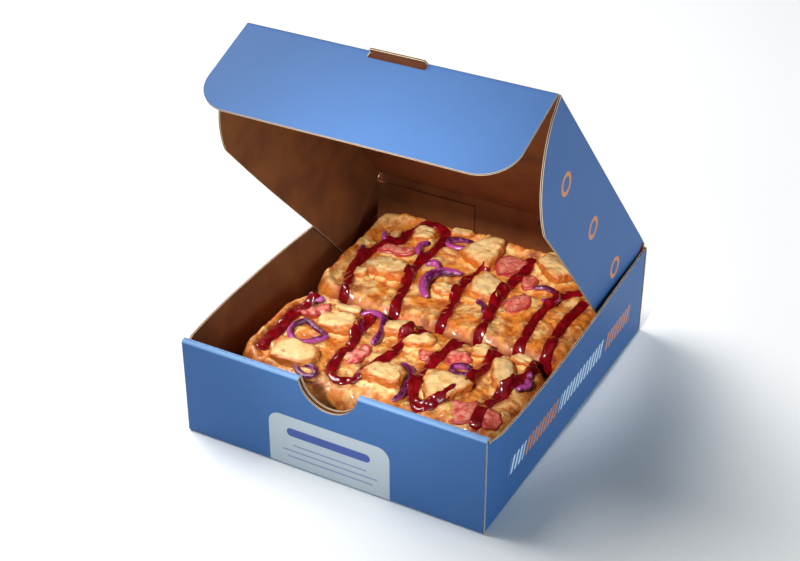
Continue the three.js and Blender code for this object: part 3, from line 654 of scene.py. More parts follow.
def printMaterial(name, draw=None):
    # blue print, with the fields and marks that a panel carries
    def paint(tree, place):
        blue = printColours["blue"]
        return draw(tree, place, blue) if draw else blue
    return boardMaterial(name, 0.5, paint, Specular_IOR_Level=0.14)


def frontMarks(tree, place, tone):
    # a painted highlight along the rolled top, and a pale label that runs down to the floor fold, with a
    # heading bar and three thin rules
    x, y, z = node(tree, "ShaderNodeSeparateXYZ", {0: place}).outputs
    outside = sums(tree, "LESS_THAN", y, marks["frontFace"] * mm)
    # painted highlight: the print turns pale blue above these heights, along the rolled top that faces the
    # light
    rollHighlight = times(tree, steps(tree, z, *[height * mm for height in marks["rollHighlightFrom"]]), 0.75)
    tone = blendColours(tree, rollHighlight, tone, printColours["rollHighlight"])
    label = times(tree, printed(tree, x, z, *marks["label"]), outside)
    label = times(tree, label, sums(tree, "GREATER_THAN", z, marks["foldLine"] * mm))
    tone = blendColours(tree, label, tone, printColours["label"])
    heading = times(tree, printed(tree, x, z, *marks["heading"]), outside)
    tone = blendColours(tree, heading, tone, printColours["ink"])
    thin = marks["ruleHalf"]
    for height, half in marks["rules"]:
        rule = times(tree, printed(tree, x, z, (0.0, height), (half, thin), thin), outside)
        tone = blendColours(tree, times(tree, rule, 0.55), tone, printColours["ink"])
    return tone


def sideMarks(tree, place, tone):
    # a row of short slanted strokes along the right wall, in white and orange groups
    x, y, z = node(tree, "ShaderNodeSeparateXYZ", {0: place}).outputs
    outside = sums(tree, "GREATER_THAN", x, marks["rightFace"] * mm)
    middle = marks["stroke"][0][1]
    slant = sums(tree, "MULTIPLY_ADD", z, marks["slant"], sums(tree, "ADD", y, marks["strokeShift"] * mm))
    positive = sums(tree, "ADD", slant, 300 * mm)    # a modulo needs a number above 0
    stroke = sums(tree, "MODULO", positive, marks["strokePitch"] * mm)
    bars = times(tree, printed(tree, stroke, z, *marks["stroke"]), outside)
    for start, end, name in marks["runs"]:
        inRun = printed(tree, slant, z, ((start + end) / 2, middle), ((end - start) / 2, 30.0), 0.1)
        tone = blendColours(tree, times(tree, bars, inRun), tone, printColours[name])
    return tone


def flapMarks(tree, place, tone):
    # three plain orange rings along the lid's side flap
    sheet = node(tree, "ShaderNodeUVMap", uv_map="sheet").outputs[0]
    parts = node(tree, "ShaderNodeSeparateXYZ", {0: sheet}).outputs
    down, along = [times(tree, part, 0.1) for part in (parts[0], parts[1])]    # from tenths of a metre
    for centre in marks["rings"]:
        discs = [printed(tree, down, along, centre, (radius, radius), radius)
                 for radius in marks["ringRadii"]]
        tone = blendColours(tree, sums(tree, "SUBTRACT", *discs, clamp=True), tone, printColours["orange"])
    return tone


def kraftPaint(tree, place):
    clouds = patches(tree, place, 34.0, 0.3, 0.75)
    return blendColours(tree, clouds, kraftColours["paper"], kraftColours["dark"])


kraftPaper = boardMaterial("kraftPaper", 0.75, kraftPaint)
linerCut = grained("linerCut", 0.85, lambda tree, place: kraftColours["cut"], 1500.0, 0.5, 0.08)
flutePaper = grained("flutePaper", 0.85, lambda tree, place: kraftColours["flute"], 1500.0, 0.5, 0.08)
plainPrint = printMaterial("bluePrint")
makeFrontWall(printMaterial("frontPrint", frontMarks))
makeTraySides({-1: plainPrint, 1: printMaterial("sidePrint", sideMarks)})
makeFloorAndRear(plainPrint)
makeLidPanel(plainPrint)
makeTuckFlap(plainPrint)
makeSideFlaps({-1: plainPrint, 1: printMaterial("flapPrint", flapMarks)})
print("box made")


# ---- what lies on the crust
# as in the solids, each piece is its place (x, y), its length, width and thickness, its turn in degrees, and
# what else sets it apart: tilt and roll in degrees, how far it bends and is sunk, and how much it tapers

toppings = {
    "chicken": {"boxy": 4, "lobes": 0.03, "sunk": 2.5}, "ham": {"boxy": 3, "lobes": 0.07, "sunk": 1.2},
    "usual": {"tilt": 0, "roll": 0, "bend": 0, "taper": 0},
    "front": {
        "chicken": [
            (53, -74, 34, 29, 12, -88, {"tilt": -4, "taper": -0.5}),
            (85, -36, 17, 35, 12, 26, {"tilt": -5}),
            (-58, -36, 33, 21, 12, 12, {"tilt": 4, "taper": 0.15}),
            (-66, -86, 38, 27, 11, 6, {"tilt": -4}),
            (8, -79, 30, 23, 12, 4, {"roll": -6, "taper": 0.1}),
            (-12, -18, 24, 15, 10, 14, {"tilt": 6, "taper": -0.3}),
            (10, -26, 25, 12, 10, 42, {"roll": 5}),
            (-60, -14, 20, 11, 9, 12, {}),
            (56, -14, 14, 16, 9, 18, {}),
            (90, -12, 18, 11, 9, -4, {}),
        ],
        "ham": [
            (77, -88, 24, 29, 4.4, 14, {"tilt": 9, "sunk": 1.4}),
            (100, -86, 15, 22, 5, 24, {"tilt": -12, "sunk": 1.4}),
            (-83, -26, 27, 13, 4.4, 50, {"bend": 3}),
            (-25, -62, 24, 13, 5, 70, {"tilt": 8}),
            (22, -38, 14, 12, 5, 20, {"sunk": 1.4}),
            (44, -29, 18, 16, 4.6, 25, {"roll": 6}),
        ],
    },
    "rear": {
        "chicken": [
            (-63, 54, 37, 24, 12, -3, {"tilt": 3}),
            (-1, 111, 38, 28, 12, 74, {"tilt": 7, "taper": -0.5}),
            (22, 63, 25, 31, 12, -4, {"tilt": -14}),
            (59, 113, 39, 20, 12, -40, {"tilt": 4}),
            (-61, 114, 17, 20, 11, 12, {"sunk": 3.6}),
            (-80, 39, 10, 12, 9, 12, {"sunk": 3}),
            (-8, 50, 20, 13, 9, 14, {"sunk": 3}),
            (-33, 127, 18, 9, 9, 12, {"sunk": 3.5}),
        ],
        "ham": [
            (51, 60, 21, 30, 4.4, -4, {"tilt": 6, "boxy": 2.2, "lobes": 0.04, "sunk": 1}),
            (23, 105, 25, 29, 4.6, -8, {"bend": 2}),
            (48, 90, 13, 19, 5, 14, {"tilt": 8}),
            (-71, 83, 34, 14, 4.8, 13, {"bend": 2}),
        ],
    },
}


# ---- where the onion strips and the sauce run

onions = {
    "width": 4.8, "height": 4.2, "clear": 0.9,
    "front": [
        {"path": [[-88, -53], [-82, -43], [-71, -47], [-58, -54], [-64, -64], [-75, -69], [-85, -63]],
         "loop": True},
        {"path": [[-96, -13], [-90, -16], [-84, -12]]},
        {"path": [[-57, -98], [-51, -94], [-42, -96], [-39, -102], [-48, -104]], "loop": True},
        {"path": [[-50, -14], [-42, -9], [-32, -11], [-26, -20], [-22, -33], [-20, -48]], "width": 5.6},
        {"path": [[10, -58], [18, -60], [25, -68], [28, -82], [29, -94], [27, -102]]},
        {"path": [[47, -43], [49, -49], [58, -50], [63, -45], [59, -39], [52, -39]], "loop": True},
        {"path": [[103, -33], [107, -41], [102, -49]], "width": 5.6},
        {"path": [[97, -19], [101, -25], [104, -30]]},
    ],
    "rear": [
        {"path": [[-92, 102], [-87, 91], [-81, 97]]},
        {"path": [[-98, 74], [-95, 67], [-95, 60]]},
        {"path": [[-50, 104], [-55, 96], [-53, 88], [-48, 82]]},
        {"path": [[-39, 74], [-32, 77], [-25, 74]], "width": 5.6},
        {"path": [[-36, 109], [-27, 107], [-18, 112], [-19, 119], [-29, 120], [-37, 115]], "loop": True},
        {"path": [[-14, 31], [-21, 37], [-25, 47], [-25, 58], [-20, 67], [-12, 72], [-4, 73]], "width": 7.4},
        {"path": [[22, 46], [28, 43], [33, 38], [35, 32]]},
        {"path": [[54, 82], [63, 86], [72, 84], [78, 77], [75, 69], [67, 71]]},
    ],
}
# hangs gives the y at which a strand ends at the cut, and the y that it hangs down to; blurs are how often
# the height under the sauce is blurred and how far it is then lowered; uneven and ripples are (share, length)
sauce = {
    "width": 9.0, "rise": 2.7, "dip": 1.2, "hangs": {7: 4.6, -8: -1.5},
    "blurs": [(16, 0), (6, 0.4), (2, 0.9)], "uneven": (0.09, 26), "ripples": (0.13, 9),
    "endSwell": 0.22, "endReach": 7,
    "front": [
        [[-90, -9], [-95, -22], [-97, -43], [-96, -62], [-96, -78], [-93, -92]],
        [
          [-42, -11], [-41, -30], [-37, -50], [-36, -76], [-31, -91], [-22, -96],
          [-12, -90], [-11, -70], [-4, -54], [-3, -36], [-5, -20], [4, -8],
        ],
        [[36, -8], [31, -24], [29, -46], [30, -68], [36, -86], [48, -96], [57, -88], [61, -62]],
        [[67, -8], [66, -28], [65, -44], [67, -66]],
        [[103, -8], [99, -24], [94, -50], [89, -66], [89, -80], [93, -100]],
    ],
    "rear": [
        [
          [-31, 7], [-36, 22], [-41, 45], [-46, 66], [-46, 78], [-43, 98], [-46, 124], [-58, 129],
          [-70, 123], [-77, 110], [-76, 101], [-86, 85], [-92, 58], [-91, 40], [-82, 20], [-77, 7],
        ],
        [[8, 95], [6, 88], [3, 82], [0, 62], [5, 36], [10, 7]],
        [[34, 124], [38, 106], [35, 80], [35, 58], [40, 28], [43, 7]],
        [[91, 99], [80, 88], [75, 68], [73, 46], [75, 24], [77, 7]],
        [[98, 88], [96, 66], [95, 44], [97, 26], [100, 7]],
    ],
}


def smoothPath(points, step, loop=False):
    # a curve through all points: cubic stretches whose end slopes look at both neighbours, evenly resampled
    p = np.array(points, float)
    if loop:
        p = np.concatenate([p[-1:], p, p[:2]])
    else:
        p = np.concatenate([[2 * p[0] - p[1]], p, [2 * p[-1] - p[-2]]])
    t = np.linspace(0, 1, 40, endpoint=False)[:, None]
    dense = []
    for p0, p1, p2, p3 in zip(p[:-3], p[1:-2], p[2:-1], p[3:]):
        d0, d1, d2 = (max(np.linalg.norm(b - a), 1e-6) ** 0.5 for a, b in ((p0, p1), (p1, p2), (p2, p3)))
        m1 = ((p1 - p0) / d0 - (p2 - p0) / (d0 + d1) + (p2 - p1) / d1) * d1
        m2 = ((p2 - p1) / d1 - (p3 - p1) / (d1 + d2) + (p3 - p2) / d2) * d1
        dense.append((2 * t**3 - 3 * t**2 + 1) * p1 + (t**3 - 2 * t**2 + t) * m1
                     + (3 * t**2 - 2 * t**3) * p2 + (t**3 - t**2) * m2)
    dense = np.concatenate(dense + [p[-2:-1]])
    s = np.concatenate([[0], np.cumsum(np.linalg.norm(np.diff(dense, axis=0), axis=1))])
    at = np.linspace(0, s[-1], max(8, int(s[-1] / step)) + 1)
    line = np.stack([np.interp(at, s, dense[:, k]) for k in (0, 1)], -1)
    if loop:
        way = np.roll(line[:-1], -1, 0) - np.roll(line[:-1], 1, 0)
        way = np.concatenate([way, way[:1]])
    else:
        way = np.gradient(line, axis=0)
    way /= np.linalg.norm(way, axis=1, keepdims=True)
    return at, line, np.stack([way[:, 1], -way[:, 0]], -1)


# ---- crust

# the rim puffs up by as much as rim, most at ridge inside the outline and not at all beyond reach from there;
# lumps are (height, size), blisters (number, smallest, largest), and undercut is (height, how far inwards)
crust = {
    "top": 50.0, "side": 33.0, "foot": 1.9, "shoulder": 12.0, "around": 680, "rings": 62,
    "tilt": 4.0, "tiltFrom": 40.0, "tiltTo": 137.0,
    "rim": 6.0, "ridge": 7.5, "reach": 9.0, "rimLeft": (60.0, 95.0), "rimRear": (100.0, 122.0),
    "lumps": [(0.6, 18.0), (0.28, 7.0), (0.1, 3.4)], "blisters": (150, 4.0, 9.0),
    "melted": {"chicken": 1.9, "ham": 0.7}, "meltedReach": 4.0, "stained": (3.5, 9.0),
    "undercut": [(1.9, 7.5), (6.0, 6.4), (14.0, 4.6), (24.0, 1.8), (33.0, 0.0)], "cutLine": 3.0,
    "slabs": {
        "front": {"x": 0.75, "y": -54.5, "halfX": 114.2, "halfY": 56.0, "corner": 30.0, "seed": 3},
        "rear": {"x": 0.75, "y": 72.25, "halfX": 114.2, "halfY": 67.75, "corner": 26.0, "seed": 8},
    },
}


def insetOf(x, y, slab):
    # how far a point lies inside a slab's rounded rectangle
    qx = np.abs(x - slab["x"]) - (slab["halfX"] - slab["corner"])
    qy = np.abs(y - slab["y"]) - (slab["halfY"] - slab["corner"])
    outside = np.hypot(np.maximum(qx, 0), np.maximum(qy, 0))
    return slab["corner"] - outside - np.minimum(np.maximum(qx, qy), 0)


def bakedHeight(x, y, slab):
    # low swells, a tilt and a puffed edge (a squared cosine across it), turning over in a quarter ellipse
    long = 1.2 * np.sin(x / 11 + 1.6 * np.sin(y / 23)) * np.cos(y / 13 + x / 37)
    swell = long + 0.3 * np.sin((x + 2 * y) / 10)
    inside = insetOf(x, y, slab)
    tilt = crust["tilt"] * np.clip((y - crust["tiltFrom"]) / (crust["tiltTo"] - crust["tiltFrom"]), 0, 1)
    share = np.maximum(ramp(-x, *crust["rimLeft"]), ramp(y, *crust["rimRear"]))
    across = np.clip((inside - crust["ridge"]) / crust["reach"], -1, 1)
    puff = crust["rim"] * share * np.cos(np.pi / 2 * across) ** 2
    depth = np.clip(inside / crust["shoulder"], 0, 1)
    top = crust["top"] + swell + tilt + puff
    return crust["side"] + (top - crust["side"]) * np.sqrt(1 - (1 - depth) ** 2)


def blisters(x, y, slab):
    # soft domes of cheese and dough: each adds a cosine cap
    count, low, high = crust["blisters"]
    rng = np.random.default_rng(slab["seed"] + 3)
    total = np.zeros_like(x)
    spots = np.stack([rng.uniform(-1, 1, count) * slab["halfX"] + slab["x"],
                      rng.uniform(-1, 1, count) * slab["halfY"] + slab["y"],
                      rng.uniform(low, high, count), rng.uniform(0, np.pi, count)], -1)
    for spotX, spotY, size, turn in spots:
        near = (np.abs(x - spotX) < 1.6 * size) & (np.abs(y - spotY) < 1.6 * size)
        dx, dy = x[near] - spotX, y[near] - spotY
        along = (dx * np.cos(turn) + dy * np.sin(turn)) / 1.35
        across = -dx * np.sin(turn) + dy * np.cos(turn)
        distance = np.clip(np.hypot(along, across) / size, 0, 1)
        total[near] = np.maximum(total[near], (0.16 * size) * (1 + np.cos(np.pi * distance)) / 2)
    return total


def meltedRound(x, y, pieces):
    # cheese that has climbed the sides of the meat: highest at a piece's turned rectangle, lower away from it
    total = np.zeros_like(x)
    for kind, height in crust["melted"].items():
        for placeX, placeY, length, width, _, degrees, _ in pieces[kind]:
            turn, dx, dy = math.radians(degrees), x - placeX, y - placeY
            along = np.abs(dx * math.cos(turn) + dy * math.sin(turn)) - length / 2 + 1
            across = np.abs(dy * math.cos(turn) - dx * math.sin(turn)) - width / 2 + 1
            away = np.hypot(np.maximum(along, 0), np.maximum(across, 0))
            total = np.maximum(total, height * ramp(-away, -crust["meltedReach"], 0))
    return total


def crustRelief(x, y, name):
    # lumps and pits on the baked top
    slab, places = crust["slabs"][name], np.stack([x, y], -1)
    lumps = sum(height * fieldNoise(places, size, slab["seed"] + i)
                for i, (height, size) in enumerate(crust["lumps"]))
    return lumps + blisters(x, y, slab) - 0.4 + meltedRound(x, y, toppings[name])


def stainMap(points):
    # how near a point of the crust is to a strand of sauce: 1 under it, 0 farther off
    near = np.full(len(points), 99.0)
    for strand in sauce["front"] + sauce["rear"]:
        line = smoothPath(strand, 3.0)[1]
        away = np.hypot(points[:, :1] - line[:, 0], points[:, 1:2] - line[:, 1])
        near = np.minimum(near, away.min(1))
    return ramp(near, *crust["stained"][::-1])


def crustTop(x, y, name):
    slab = crust["slabs"][name]
    edge = ramp(insetOf(x, y, slab), -1, 5)
    return bakedHeight(x, y, slab) + crustRelief(x, y, name) * edge


def makeCrust(name, material):
    # rings carried from the middle of the underside out, up the side and over the top to the middle line
    slab = crust["slabs"][name]
    halfX, halfY, r = slab["halfX"], slab["halfY"], slab["corner"]
    turn = np.linspace(0, 2 * np.pi, crust["around"], endpoint=False)
    walk = turn / (2 * np.pi) * (4 * (halfX + halfY - 2 * r) + 2 * np.pi * r)
    corners = np.array([[1, 1], [-1, 1], [-1, -1], [1, -1]]) * [halfX - r, halfY - r]
    outline = [[halfX, 0.0]]
    for i, (cornerX, cornerY) in enumerate(corners):
        angle = np.radians(90 * i + np.linspace(0, 90, 25))
        outline += list(np.stack([cornerX + r * np.cos(angle), cornerY + r * np.sin(angle)], -1))
    outline = np.array(outline + [[halfX, 0.0]])
    knots = np.concatenate([[0], np.cumsum(np.linalg.norm(np.diff(outline, axis=0), axis=1))])
    knots = knots * walk.max() / knots[-1] * len(turn) / (len(turn) - 1)
    rimX, rimY = [np.interp(walk, knots, outline[:, k]) for k in (0, 1)]
    spineX = np.clip(rimX, -(halfX - halfY), halfX - halfY)
    length = np.hypot(rimX - spineX, rimY)
    # shares from the rim to the spine: a third of the rings on the shoulder
    near = np.linspace(0, 0.24, crust["rings"] // 3, endpoint=False)
    share = np.concatenate([near, np.linspace(0.24, 1, crust["rings"] - len(near))])[:, None]
    topX = rimX + (spineX - rimX) * share + slab["x"]
    topY = rimY * (1 - share) + slab["y"]
    top = np.stack([topX, topY, crustTop(topX, topY, name)], -1)
    heights = np.linspace(crust["foot"], crust["side"], 26)[:-1, None]
    tuck = np.interp(heights, *zip(*crust["undercut"]))
    inward = np.stack([(spineX - rimX) / length, -rimY / length])
    sideX = rimX + inward[0] * tuck + slab["x"]
    sideY = rimY + inward[1] * tuck + slab["y"]
    side = np.stack([sideX, sideY, np.broadcast_to(heights, sideX.shape)], -1)
    rough = 0.5 * fieldNoise(side, 12, slab["seed"] + 5) + 0.3 * fieldNoise(side, 4, slab["seed"] + 6)
    rough = rough * ramp(heights, 1.9, 4) - 0.1
    side[..., 0] -= inward[0] * rough
    side[..., 1] -= inward[1] * rough
    under = np.array([1, 0.5, 0.1])[:, None]
    footX = spineX + (side[0, :, 0] - slab["x"] - spineX) * (1 - under) + slab["x"]
    footY = (side[0, :, 1] - slab["y"]) * (1 - under) + slab["y"]
    foot = np.stack([footX, footY, np.full_like(footX, crust["foot"])], -1)
    points, quads = gridSurface(np.concatenate([foot, side, top]), closed=True)
    x, y = points[:, 0], points[:, 1]
    fields = {"rim": ramp(insetOf(x, y, slab), 16, 2), "lump": np.clip(crustRelief(x, y, name), -2, 2),
              "stain": stainMap(points), "valley": ramp(-np.abs(y - crust["cutLine"]), -6, -1.5)}
    addPiece("crust_" + name, "box", points, quads, [material], fields=fields, weld=0.02,
             replaces=[name + "_slab"])


# colours of the food, as sRGB
foodColours = {
    "cheese": (254, 208, 132), "gold": (236, 146, 56), "orange": (208, 92, 20), "rust": (196, 84, 22),
    "brown": (112, 34, 10), "rim": (214, 116, 34), "toast": (150, 66, 20), "bled": (136, 24, 10),
    # the palest cheese tone is a painted highlight for the swells
    "swellHighlight": (255, 226, 140), "dripped": (132, 44, 14),
    "breast": (255, 212, 146), "grilled": (206, 106, 28), "rubbed": (200, 104, 30), "herbs": (236, 164, 76),
    "scorched": (160, 74, 22), "ham": (232, 108, 92), "fat": (244, 160, 138), "cured": (204, 52, 48),
    # the lilac onion tone is a painted highlight
    "hamRind": (176, 30, 32), "onion": (178, 66, 142), "onionSkin": (92, 8, 58), "onionHighlight": (206, 132, 196),
    "sauceDark": (112, 0, 14), "sauceLight": (142, 6, 20),
}


def layered(tree, mask, under, over, layers=()):
    # two colours mixed by a mask, and further ones laid over them, each as (mask, strength, colour)
    tone = blendColours(tree, mask, colour(*foodColours[under]), colour(*foodColours[over]))
    for cover, strength, name in layers:
        tone = blendColours(tree, times(tree, cover, strength), tone, colour(*foodColours[name]))
    return tone


def bakePaint(tree, place):
    # baked cheese and dough, browned in patches and towards the rim; orange and brown in the hollows are
    # painted shade, and pale on the swells is a painted highlight
    rim, lump, stain, valley = [attribute(tree, label) for label in ("rim", "lump", "stain", "valley")]
    return layered(tree, patches(tree, place, 70.0, 0.42, 0.60), "gold", "cheese", [
        # painted shade: orange in the hollows of the relief
        (steps(tree, lump, 0.0, -1.3), 0.6, "orange"),
        (patches(tree, place, 130.0, 0.52, 0.64), 0.6, "orange"),
        (patches(tree, place, 240.0, 0.54, 0.66), 0.6, "rust"),
        (rim, 0.7, "rim"),
        # painted shade: brown in the deepest hollows of the relief
        (steps(tree, lump, -0.6, -1.7), 0.45, "brown"),
        (patches(tree, place, 260.0, 0.64, 0.71), 0.75, "brown"),
        (times(tree, patches(tree, place, 90.0, 0.48, 0.62), rim), 0.75, "toast"),
        (times(tree, stain, patches(tree, place, 170.0, 0.36, 0.58)), 0.85, "bled"),
        # painted highlight: pale cheese on the highest swells
        (steps(tree, lump, 0.7, 1.7), 0.5, "swellHighlight"),
        (times(tree, valley, patches(tree, place, 60.0, 0.3, 0.55)), 0.85, "dripped"),
    ])


bakedCrust = grained("bakedCrust", 0.42, bakePaint, 700.0, 0.35, 0.45, Subsurface_Weight=0.10,
                     Subsurface_Scale=0.003, Coat_Weight=0.45, Coat_Roughness=0.18)
for slabName in crust["slabs"]:
    makeCrust(slabName, bakedCrust)


# ---- a map of the height under the sauce

reliefMap = {"step": 0.75, "x": (-119.0, 120.5), "y": (-115.0, 142.0)}
mapX, mapY = np.meshgrid(*[np.arange(*reliefMap[axis], reliefMap["step"]) for axis in "xy"], indexing="ij")
reliefMap["z"] = np.full_like(mapX, crust["side"])
for slabName, slabSize in crust["slabs"].items():
    on = insetOf(mapX, mapY, slabSize) > 0
    reliefMap["z"][on] = crustTop(mapX[on], mapY[on], slabName)


def raiseMap(points):
    # the map is lifted to every point that stands out of it
    cells = []
    for k, axis in enumerate("xy"):
        cell = np.round((points[:, k] - reliefMap[axis][0]) / reliefMap["step"]).astype(int)
        cells.append(np.clip(cell, 0, mapX.shape[k] - 1))
    np.maximum.at(reliefMap["z"], tuple(cells), points[:, 2])


def blurMap(values, count):
    for _ in range(count):
        for axis in (0, 1):
            values = (np.roll(values, 1, axis) + 2 * values + np.roll(values, -1, axis)) / 4
    return values


def readMap(values, x, y):
    # bilinear reading of a map
    u = np.clip((x - reliefMap["x"][0]) / reliefMap["step"], 0, values.shape[0] - 1.001)
    v = np.clip((y - reliefMap["y"][0]) / reliefMap["step"], 0, values.shape[1] - 1.001)
    i, j = u.astype(int), v.astype(int)
    fu, fv = u - i, v - j
    return (values[i, j] * (1 - fu) * (1 - fv) + values[i + 1, j] * fu * (1 - fv)
            + values[i, j + 1] * (1 - fu) * fv + values[i + 1, j + 1] * fu * fv)


# ---- chicken and ham

def turned(points, axis, degrees):
    matrix = np.array(Matrix.Rotation(math.radians(degrees), 3, axis))
    return points @ matrix.T


def makeChunk(kind, number, slab, piece, material):
    # a rounded block: a superellipse round its middle, with lobes, carried from pole to pole by another
    placeX, placeY, *size, turn, own = piece
    own = {**toppings["usual"], **toppings[kind], **own}
    boxy, lobes = own["boxy"], own["lobes"]
    around, up = np.meshgrid(np.linspace(0, 2 * np.pi, 97), np.linspace(-np.pi / 2, np.pi / 2, 41),
                             indexing="ij")
    level = np.sign(np.sin(up)) * np.abs(np.sin(up)) ** (2 / boxy)
    width = np.maximum(np.cos(up), 0) ** (2 / boxy)
    square = (np.abs(np.cos(around)) ** boxy + np.abs(np.sin(around)) ** boxy) ** (-1 / boxy)
    reach = width * square * (1 + lobes * np.sin(2 * around + placeX) + lobes * np.sin(3 * around + placeY))
    along = reach * np.cos(around)
    points = np.stack([size[0] / 2 * along, size[1] / 2 * reach * np.sin(around) * (1 + own["taper"] * along),
                       size[2] / 2 * level + own["bend"] * along ** 2], -1)
    seed = 100 + number
    noisy = points.copy()
    outward = points / (np.linalg.norm(points, axis=-1, keepdims=True) + 1e-6)
    if kind == "chicken":
        ragged = ramp(-level, -0.9, -0.3)    # torn fibres run along the sides
        rough = (0.22 + 0.3 * ragged) * fieldNoise(points * [0.4, 1.7, 1.0], 4.0, seed)
        rough = rough + 0.75 * fieldNoise(points, 9.0, seed + 1)
    else:
        ring = np.stack([np.cos(around), np.sin(around)], -1)
        rough = 0.9 * fieldNoise(ring, 1.1, seed) * ramp(reach, 0.2, 0.9)
        noisy[..., 2] += 0.7 * fieldNoise(points[..., :2] * [1, 0.4], 9.0, seed + 1)
    noisy += outward * rough[..., None]
    points = turned(turned(turned(noisy, "X", own["roll"]), "Y", -own["tilt"]), "Z", turn)
    base = bakedHeight(np.array([placeX], float), np.array([placeY], float), slab)[0]
    points, quads = gridSurface(points + [placeX, placeY, base + size[2] / 2 - own["sunk"]])
    raiseMap(points)
    fields = {"top": ramp(level, 0.55, 0.95).ravel(), "edge": ramp(reach, 0.72, 0.98).ravel()}
    addPiece(f"{kind}Piece_{number}", "box", points, quads, [material], fields=fields,
             replaces=[f"{kind}_{number}"])


def chickenPaint(tree, place):
    return layered(tree, attribute(tree, "top"), "grilled", "breast", [
        (times(tree, attribute(tree, "edge"), patches(tree, place, 90.0, 0.38, 0.6)), 0.9, "rubbed"),
        (patches(tree, place, 120.0, 0.5, 0.66), 0.5, "herbs"),
        (patches(tree, place, 230.0, 0.6, 0.7), 0.6, "scorched"),
    ])


def hamPaint(tree, place):
    return layered(tree, patches(tree, place, 220.0, 0.42, 0.6), "ham", "fat", [
        (patches(tree, place, 300.0, 0.5, 0.62), 0.7, "cured"),
        (attribute(tree, "edge"), 0.8, "hamRind"),
    ])


meats = {
    "chicken": grained("chickenMeat", 0.5, chickenPaint, 600.0, 0.2, 0.25, Subsurface_Weight=0.2,
                       Subsurface_Scale=0.004, Coat_Weight=0.2, Coat_Roughness=0.3),
    "ham": grained("hamSlice", 0.38, hamPaint, 500.0, 0.2, 0.25, Subsurface_Weight=0.2,
                   Subsurface_Scale=0.003, Coat_Weight=0.4, Coat_Roughness=0.2),
}
counts = {"chicken": 0, "ham": 0}
for slabName, slabSize in crust["slabs"].items():
    for kind, material in meats.items():
        for piece in toppings[slabName][kind]:
            counts[kind] += 1
            makeChunk(kind, counts[kind], slabSize, piece, material)
print("meat made", counts)


# ---- onion and sauce, both carried along a path

def makeOnion(number, slab, strip, material):
    # a strip with fine ridges along it, oval across, tapered at its ends
    loop, width = strip.get("loop", False), strip.get("width", onions["width"])
    height = onions["height"] * width / onions["width"]
    s, line, across = smoothPath(strip["path"], 0.7, loop)
    share = s / s[-1]
    turn = np.linspace(0, 2 * np.pi, 33)[None, :]
    lift = 0 if loop else np.sin(np.pi * share)    # a loose strip arches up by 1 mm at its middle
    centre = bakedHeight(line[:, 0], line[:, 1], slab) + height / 2 + onions["clear"] + lift
    taper = np.ones_like(share) if loop else np.sqrt(np.clip(1 - (2 * share - 1) ** 8, 0, 1))
    rng = np.random.default_rng(200 + number)
    twist = rng.uniform(0, 6) + 0.8 * np.sin(share * 5 + rng.uniform(0, 6))
    circle = 2 * np.pi * share
    course = np.stack([np.cos(circle), np.sin(circle)], -1) if loop else share[:, None] * 3
    vary = taper * (1 + 0.12 * fieldNoise(course, 2.4, 210 + number))
    ridges = 1 + 0.07 * np.cos(7 * turn) + 0.03 * np.sin(17 * turn)
    out = width / 2 * vary[:, None] * ridges * np.cos(turn)
    rise = height / 2 * vary[:, None] * ridges * np.sin(turn)
    x, y = [line[:, k:k + 1] + across[:, k:k + 1] * out for k in (0, 1)]
    points, quads = gridSurface(np.stack([x, y, centre[:, None] + rise], -1))
    raiseMap(points)
    skin = 0.5 + 0.5 * np.cos(turn + twist[:, None])
    addPiece(f"onionPiece_{number}", "box", points, quads, [material], fields={"skin": skin.ravel()},
             replaces=[f"onion_{number}"])


def onionPaint(tree, place):
    skin = steps(tree, attribute(tree, "skin"), 0.25, 0.8)
    # painted highlight: lilac patches over the purple strip
    lilacHighlights = patches(tree, place, 300.0, 0.52, 0.64)
    return layered(tree, skin, "onion", "onionSkin", [(lilacHighlights, 0.4, "onionHighlight")])


onionStrip = grained("onionStrip", 0.3, onionPaint, 500.0, 0.2, 0.2, Subsurface_Weight=0.15,
                     Subsurface_Scale=0.002, Coat_Weight=0.5, Coat_Roughness=0.12)
strips = [(slabSize, strip) for slabName, slabSize in crust["slabs"].items() for strip in onions[slabName]]
for i, (slabSize, strip) in enumerate(strips):
    makeOnion(i + 1, slabSize, strip, onionStrip)
print("onion made", len(strips))


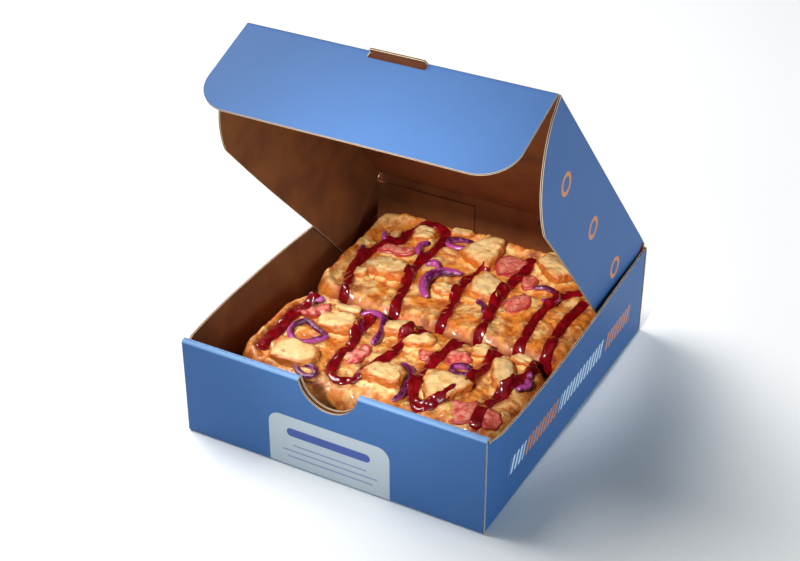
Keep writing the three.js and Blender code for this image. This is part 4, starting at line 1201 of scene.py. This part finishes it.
def makeSauce(slabName, seed, material):
    # each strand is a thick liquid line: a dome across it, laid on the blurred height of all that is under it
    under = np.maximum.reduce([blurMap(reliefMap["z"], count) - less for count, less in sauce["blurs"]])
    under = blurMap(under, 2)
    (uneven, length), (ripples, size) = sauce["uneven"], sauce["ripples"]
    shells = []
    for i, points in enumerate(sauce[slabName]):
        # the strands that a cut ended hang over its edge
        s, line, across = smoothPath([(x, sauce["hangs"].get(y, y)) for x, y in points], 0.7)
        # its ends are swollen, where the pour began and stopped
        swollen = np.exp(-(s / sauce["endReach"]) ** 2) + np.exp(-((s[-1] - s) / sauce["endReach"]) ** 2)
        half = 1 + uneven * fieldNoise(s[:, None], length, seed + i) + sauce["endSwell"] * swollen
        half = sauce["width"] / 2 * half
        tip = np.clip(np.minimum(s, s[-1] - s) / half, 0, 1)
        half = half * np.sqrt(np.maximum(1 - (1 - tip) ** 2, 0))
        u = np.cos(np.linspace(np.pi, 0, 21))[None, :]
        x, y = [line[:, k:k + 1] + across[:, k:k + 1] * u * half[:, None] for k in (0, 1)]
        floor, dome = readMap(under, x, y), np.sqrt(np.maximum(1 - u ** 2, 0))
        rise = sauce["rise"] * (half / (sauce["width"] / 2))[:, None] ** 0.8
        top = floor + rise * dome * (1 + ripples * fieldNoise(np.stack([x, y], -1), size, seed + i + 9))
        low = np.stack([x, y, floor - sauce["dip"] * dome], -1)
        shells.append(gridSurface(np.concatenate([np.stack([x, y, top], -1), low[:, ::-1]], 1), closed=True))
    points, quads = joinShells(shells)
    addPiece("sauce_" + slabName, "box", points, quads, [material])


def saucePaint(tree, place):
    return layered(tree, patches(tree, place, 120.0, 0.4, 0.65), "sauceDark", "sauceLight")


sauceGlaze = grained("sauceGlaze", 0.16, saucePaint, 500.0, 0.2, Coat_Weight=1.0, Coat_Roughness=0.05,
                     Subsurface_Weight=0.1, Subsurface_Scale=0.002)
makeSauce("front", 300, sauceGlaze)
makeSauce("rear", 350, sauceGlaze)


# ---- floor and lights

# a light is its name, kind, place, target and settings; a sun lamp's energy is in watts a square metre
studio = {
    "floor": 4.0, "drop": 0.4, "floorTone": (0.97, 0.96, 0.95, 1),
    "world": 0.14, "worldTone": (0.96, 0.98, 1.0, 1),
    "lights": [
        ("softbox", "AREA", (-1150.0, 80.0, 1900.0), (0.0, 0.0, 60.0), {"energy": 59.0, "size": 1.35}),
        ("spot", "SPOT", (150.0, -1580.0, 1418.0), (14.0, 62.0, 40.0),
         {"energy": 200.0, "shadow_soft_size": 0.06, "spot_size": math.radians(8.1), "spot_blend": 0.6}),
        ("fill", "SUN", (1000.0, -460.0, 20.0), (0.0, 0.0, 0.0),
         {"energy": 3.2, "angle": math.radians(50), "color": (0.52, 0.82, 1.0)}),
        ("front", "SUN", (-450.0, -1000.0, 30.0), (0.0, 0.0, 0.0),
         {"energy": 0.6, "angle": math.radians(40), "color": (1.0, 0.92, 0.84)}),
    ],
}


def makeStudio():
    side = studio["floor"]
    mesh = bpy.data.meshes.new("studioFloor")
    corners = [(x * side, y * side, -studio["drop"] * mm) for x, y in ((-1, -1), (1, -1), (1, 1), (-1, 1))]
    mesh.from_pydata(corners, [], [(0, 1, 2, 3)])
    floor = bpy.data.objects.new("studioFloor", mesh)
    bpy.context.scene.collection.objects.link(floor)
    material, tree, shader = newMaterial("paleFloor", 0.9)
    shader.inputs["Base Color"].default_value = studio["floorTone"]
    mesh.materials.append(material)
    world = bpy.data.worlds.new("studio")
    bpy.context.scene.world = world
    world.use_nodes = True
    background = world.node_tree.nodes["Background"]
    background.inputs["Color"].default_value = studio["worldTone"]
    background.inputs["Strength"].default_value = studio["world"]
    for name, kind, place, target, settings in studio["lights"]:
        light = bpy.data.lights.new(name, kind)
        for label, value in settings.items():
            setattr(light, label, value)
        lamp = bpy.data.objects.new(name, light)
        lamp.location = Vector(place) * mm
        lamp.rotation_euler = (Vector(place) - Vector(target)).to_track_quat("Z", "Y").to_euler()
        bpy.context.scene.collection.objects.link(lamp)
    bpy.context.scene.view_settings.view_transform = "Standard"


makeStudio()
print("studio lit")
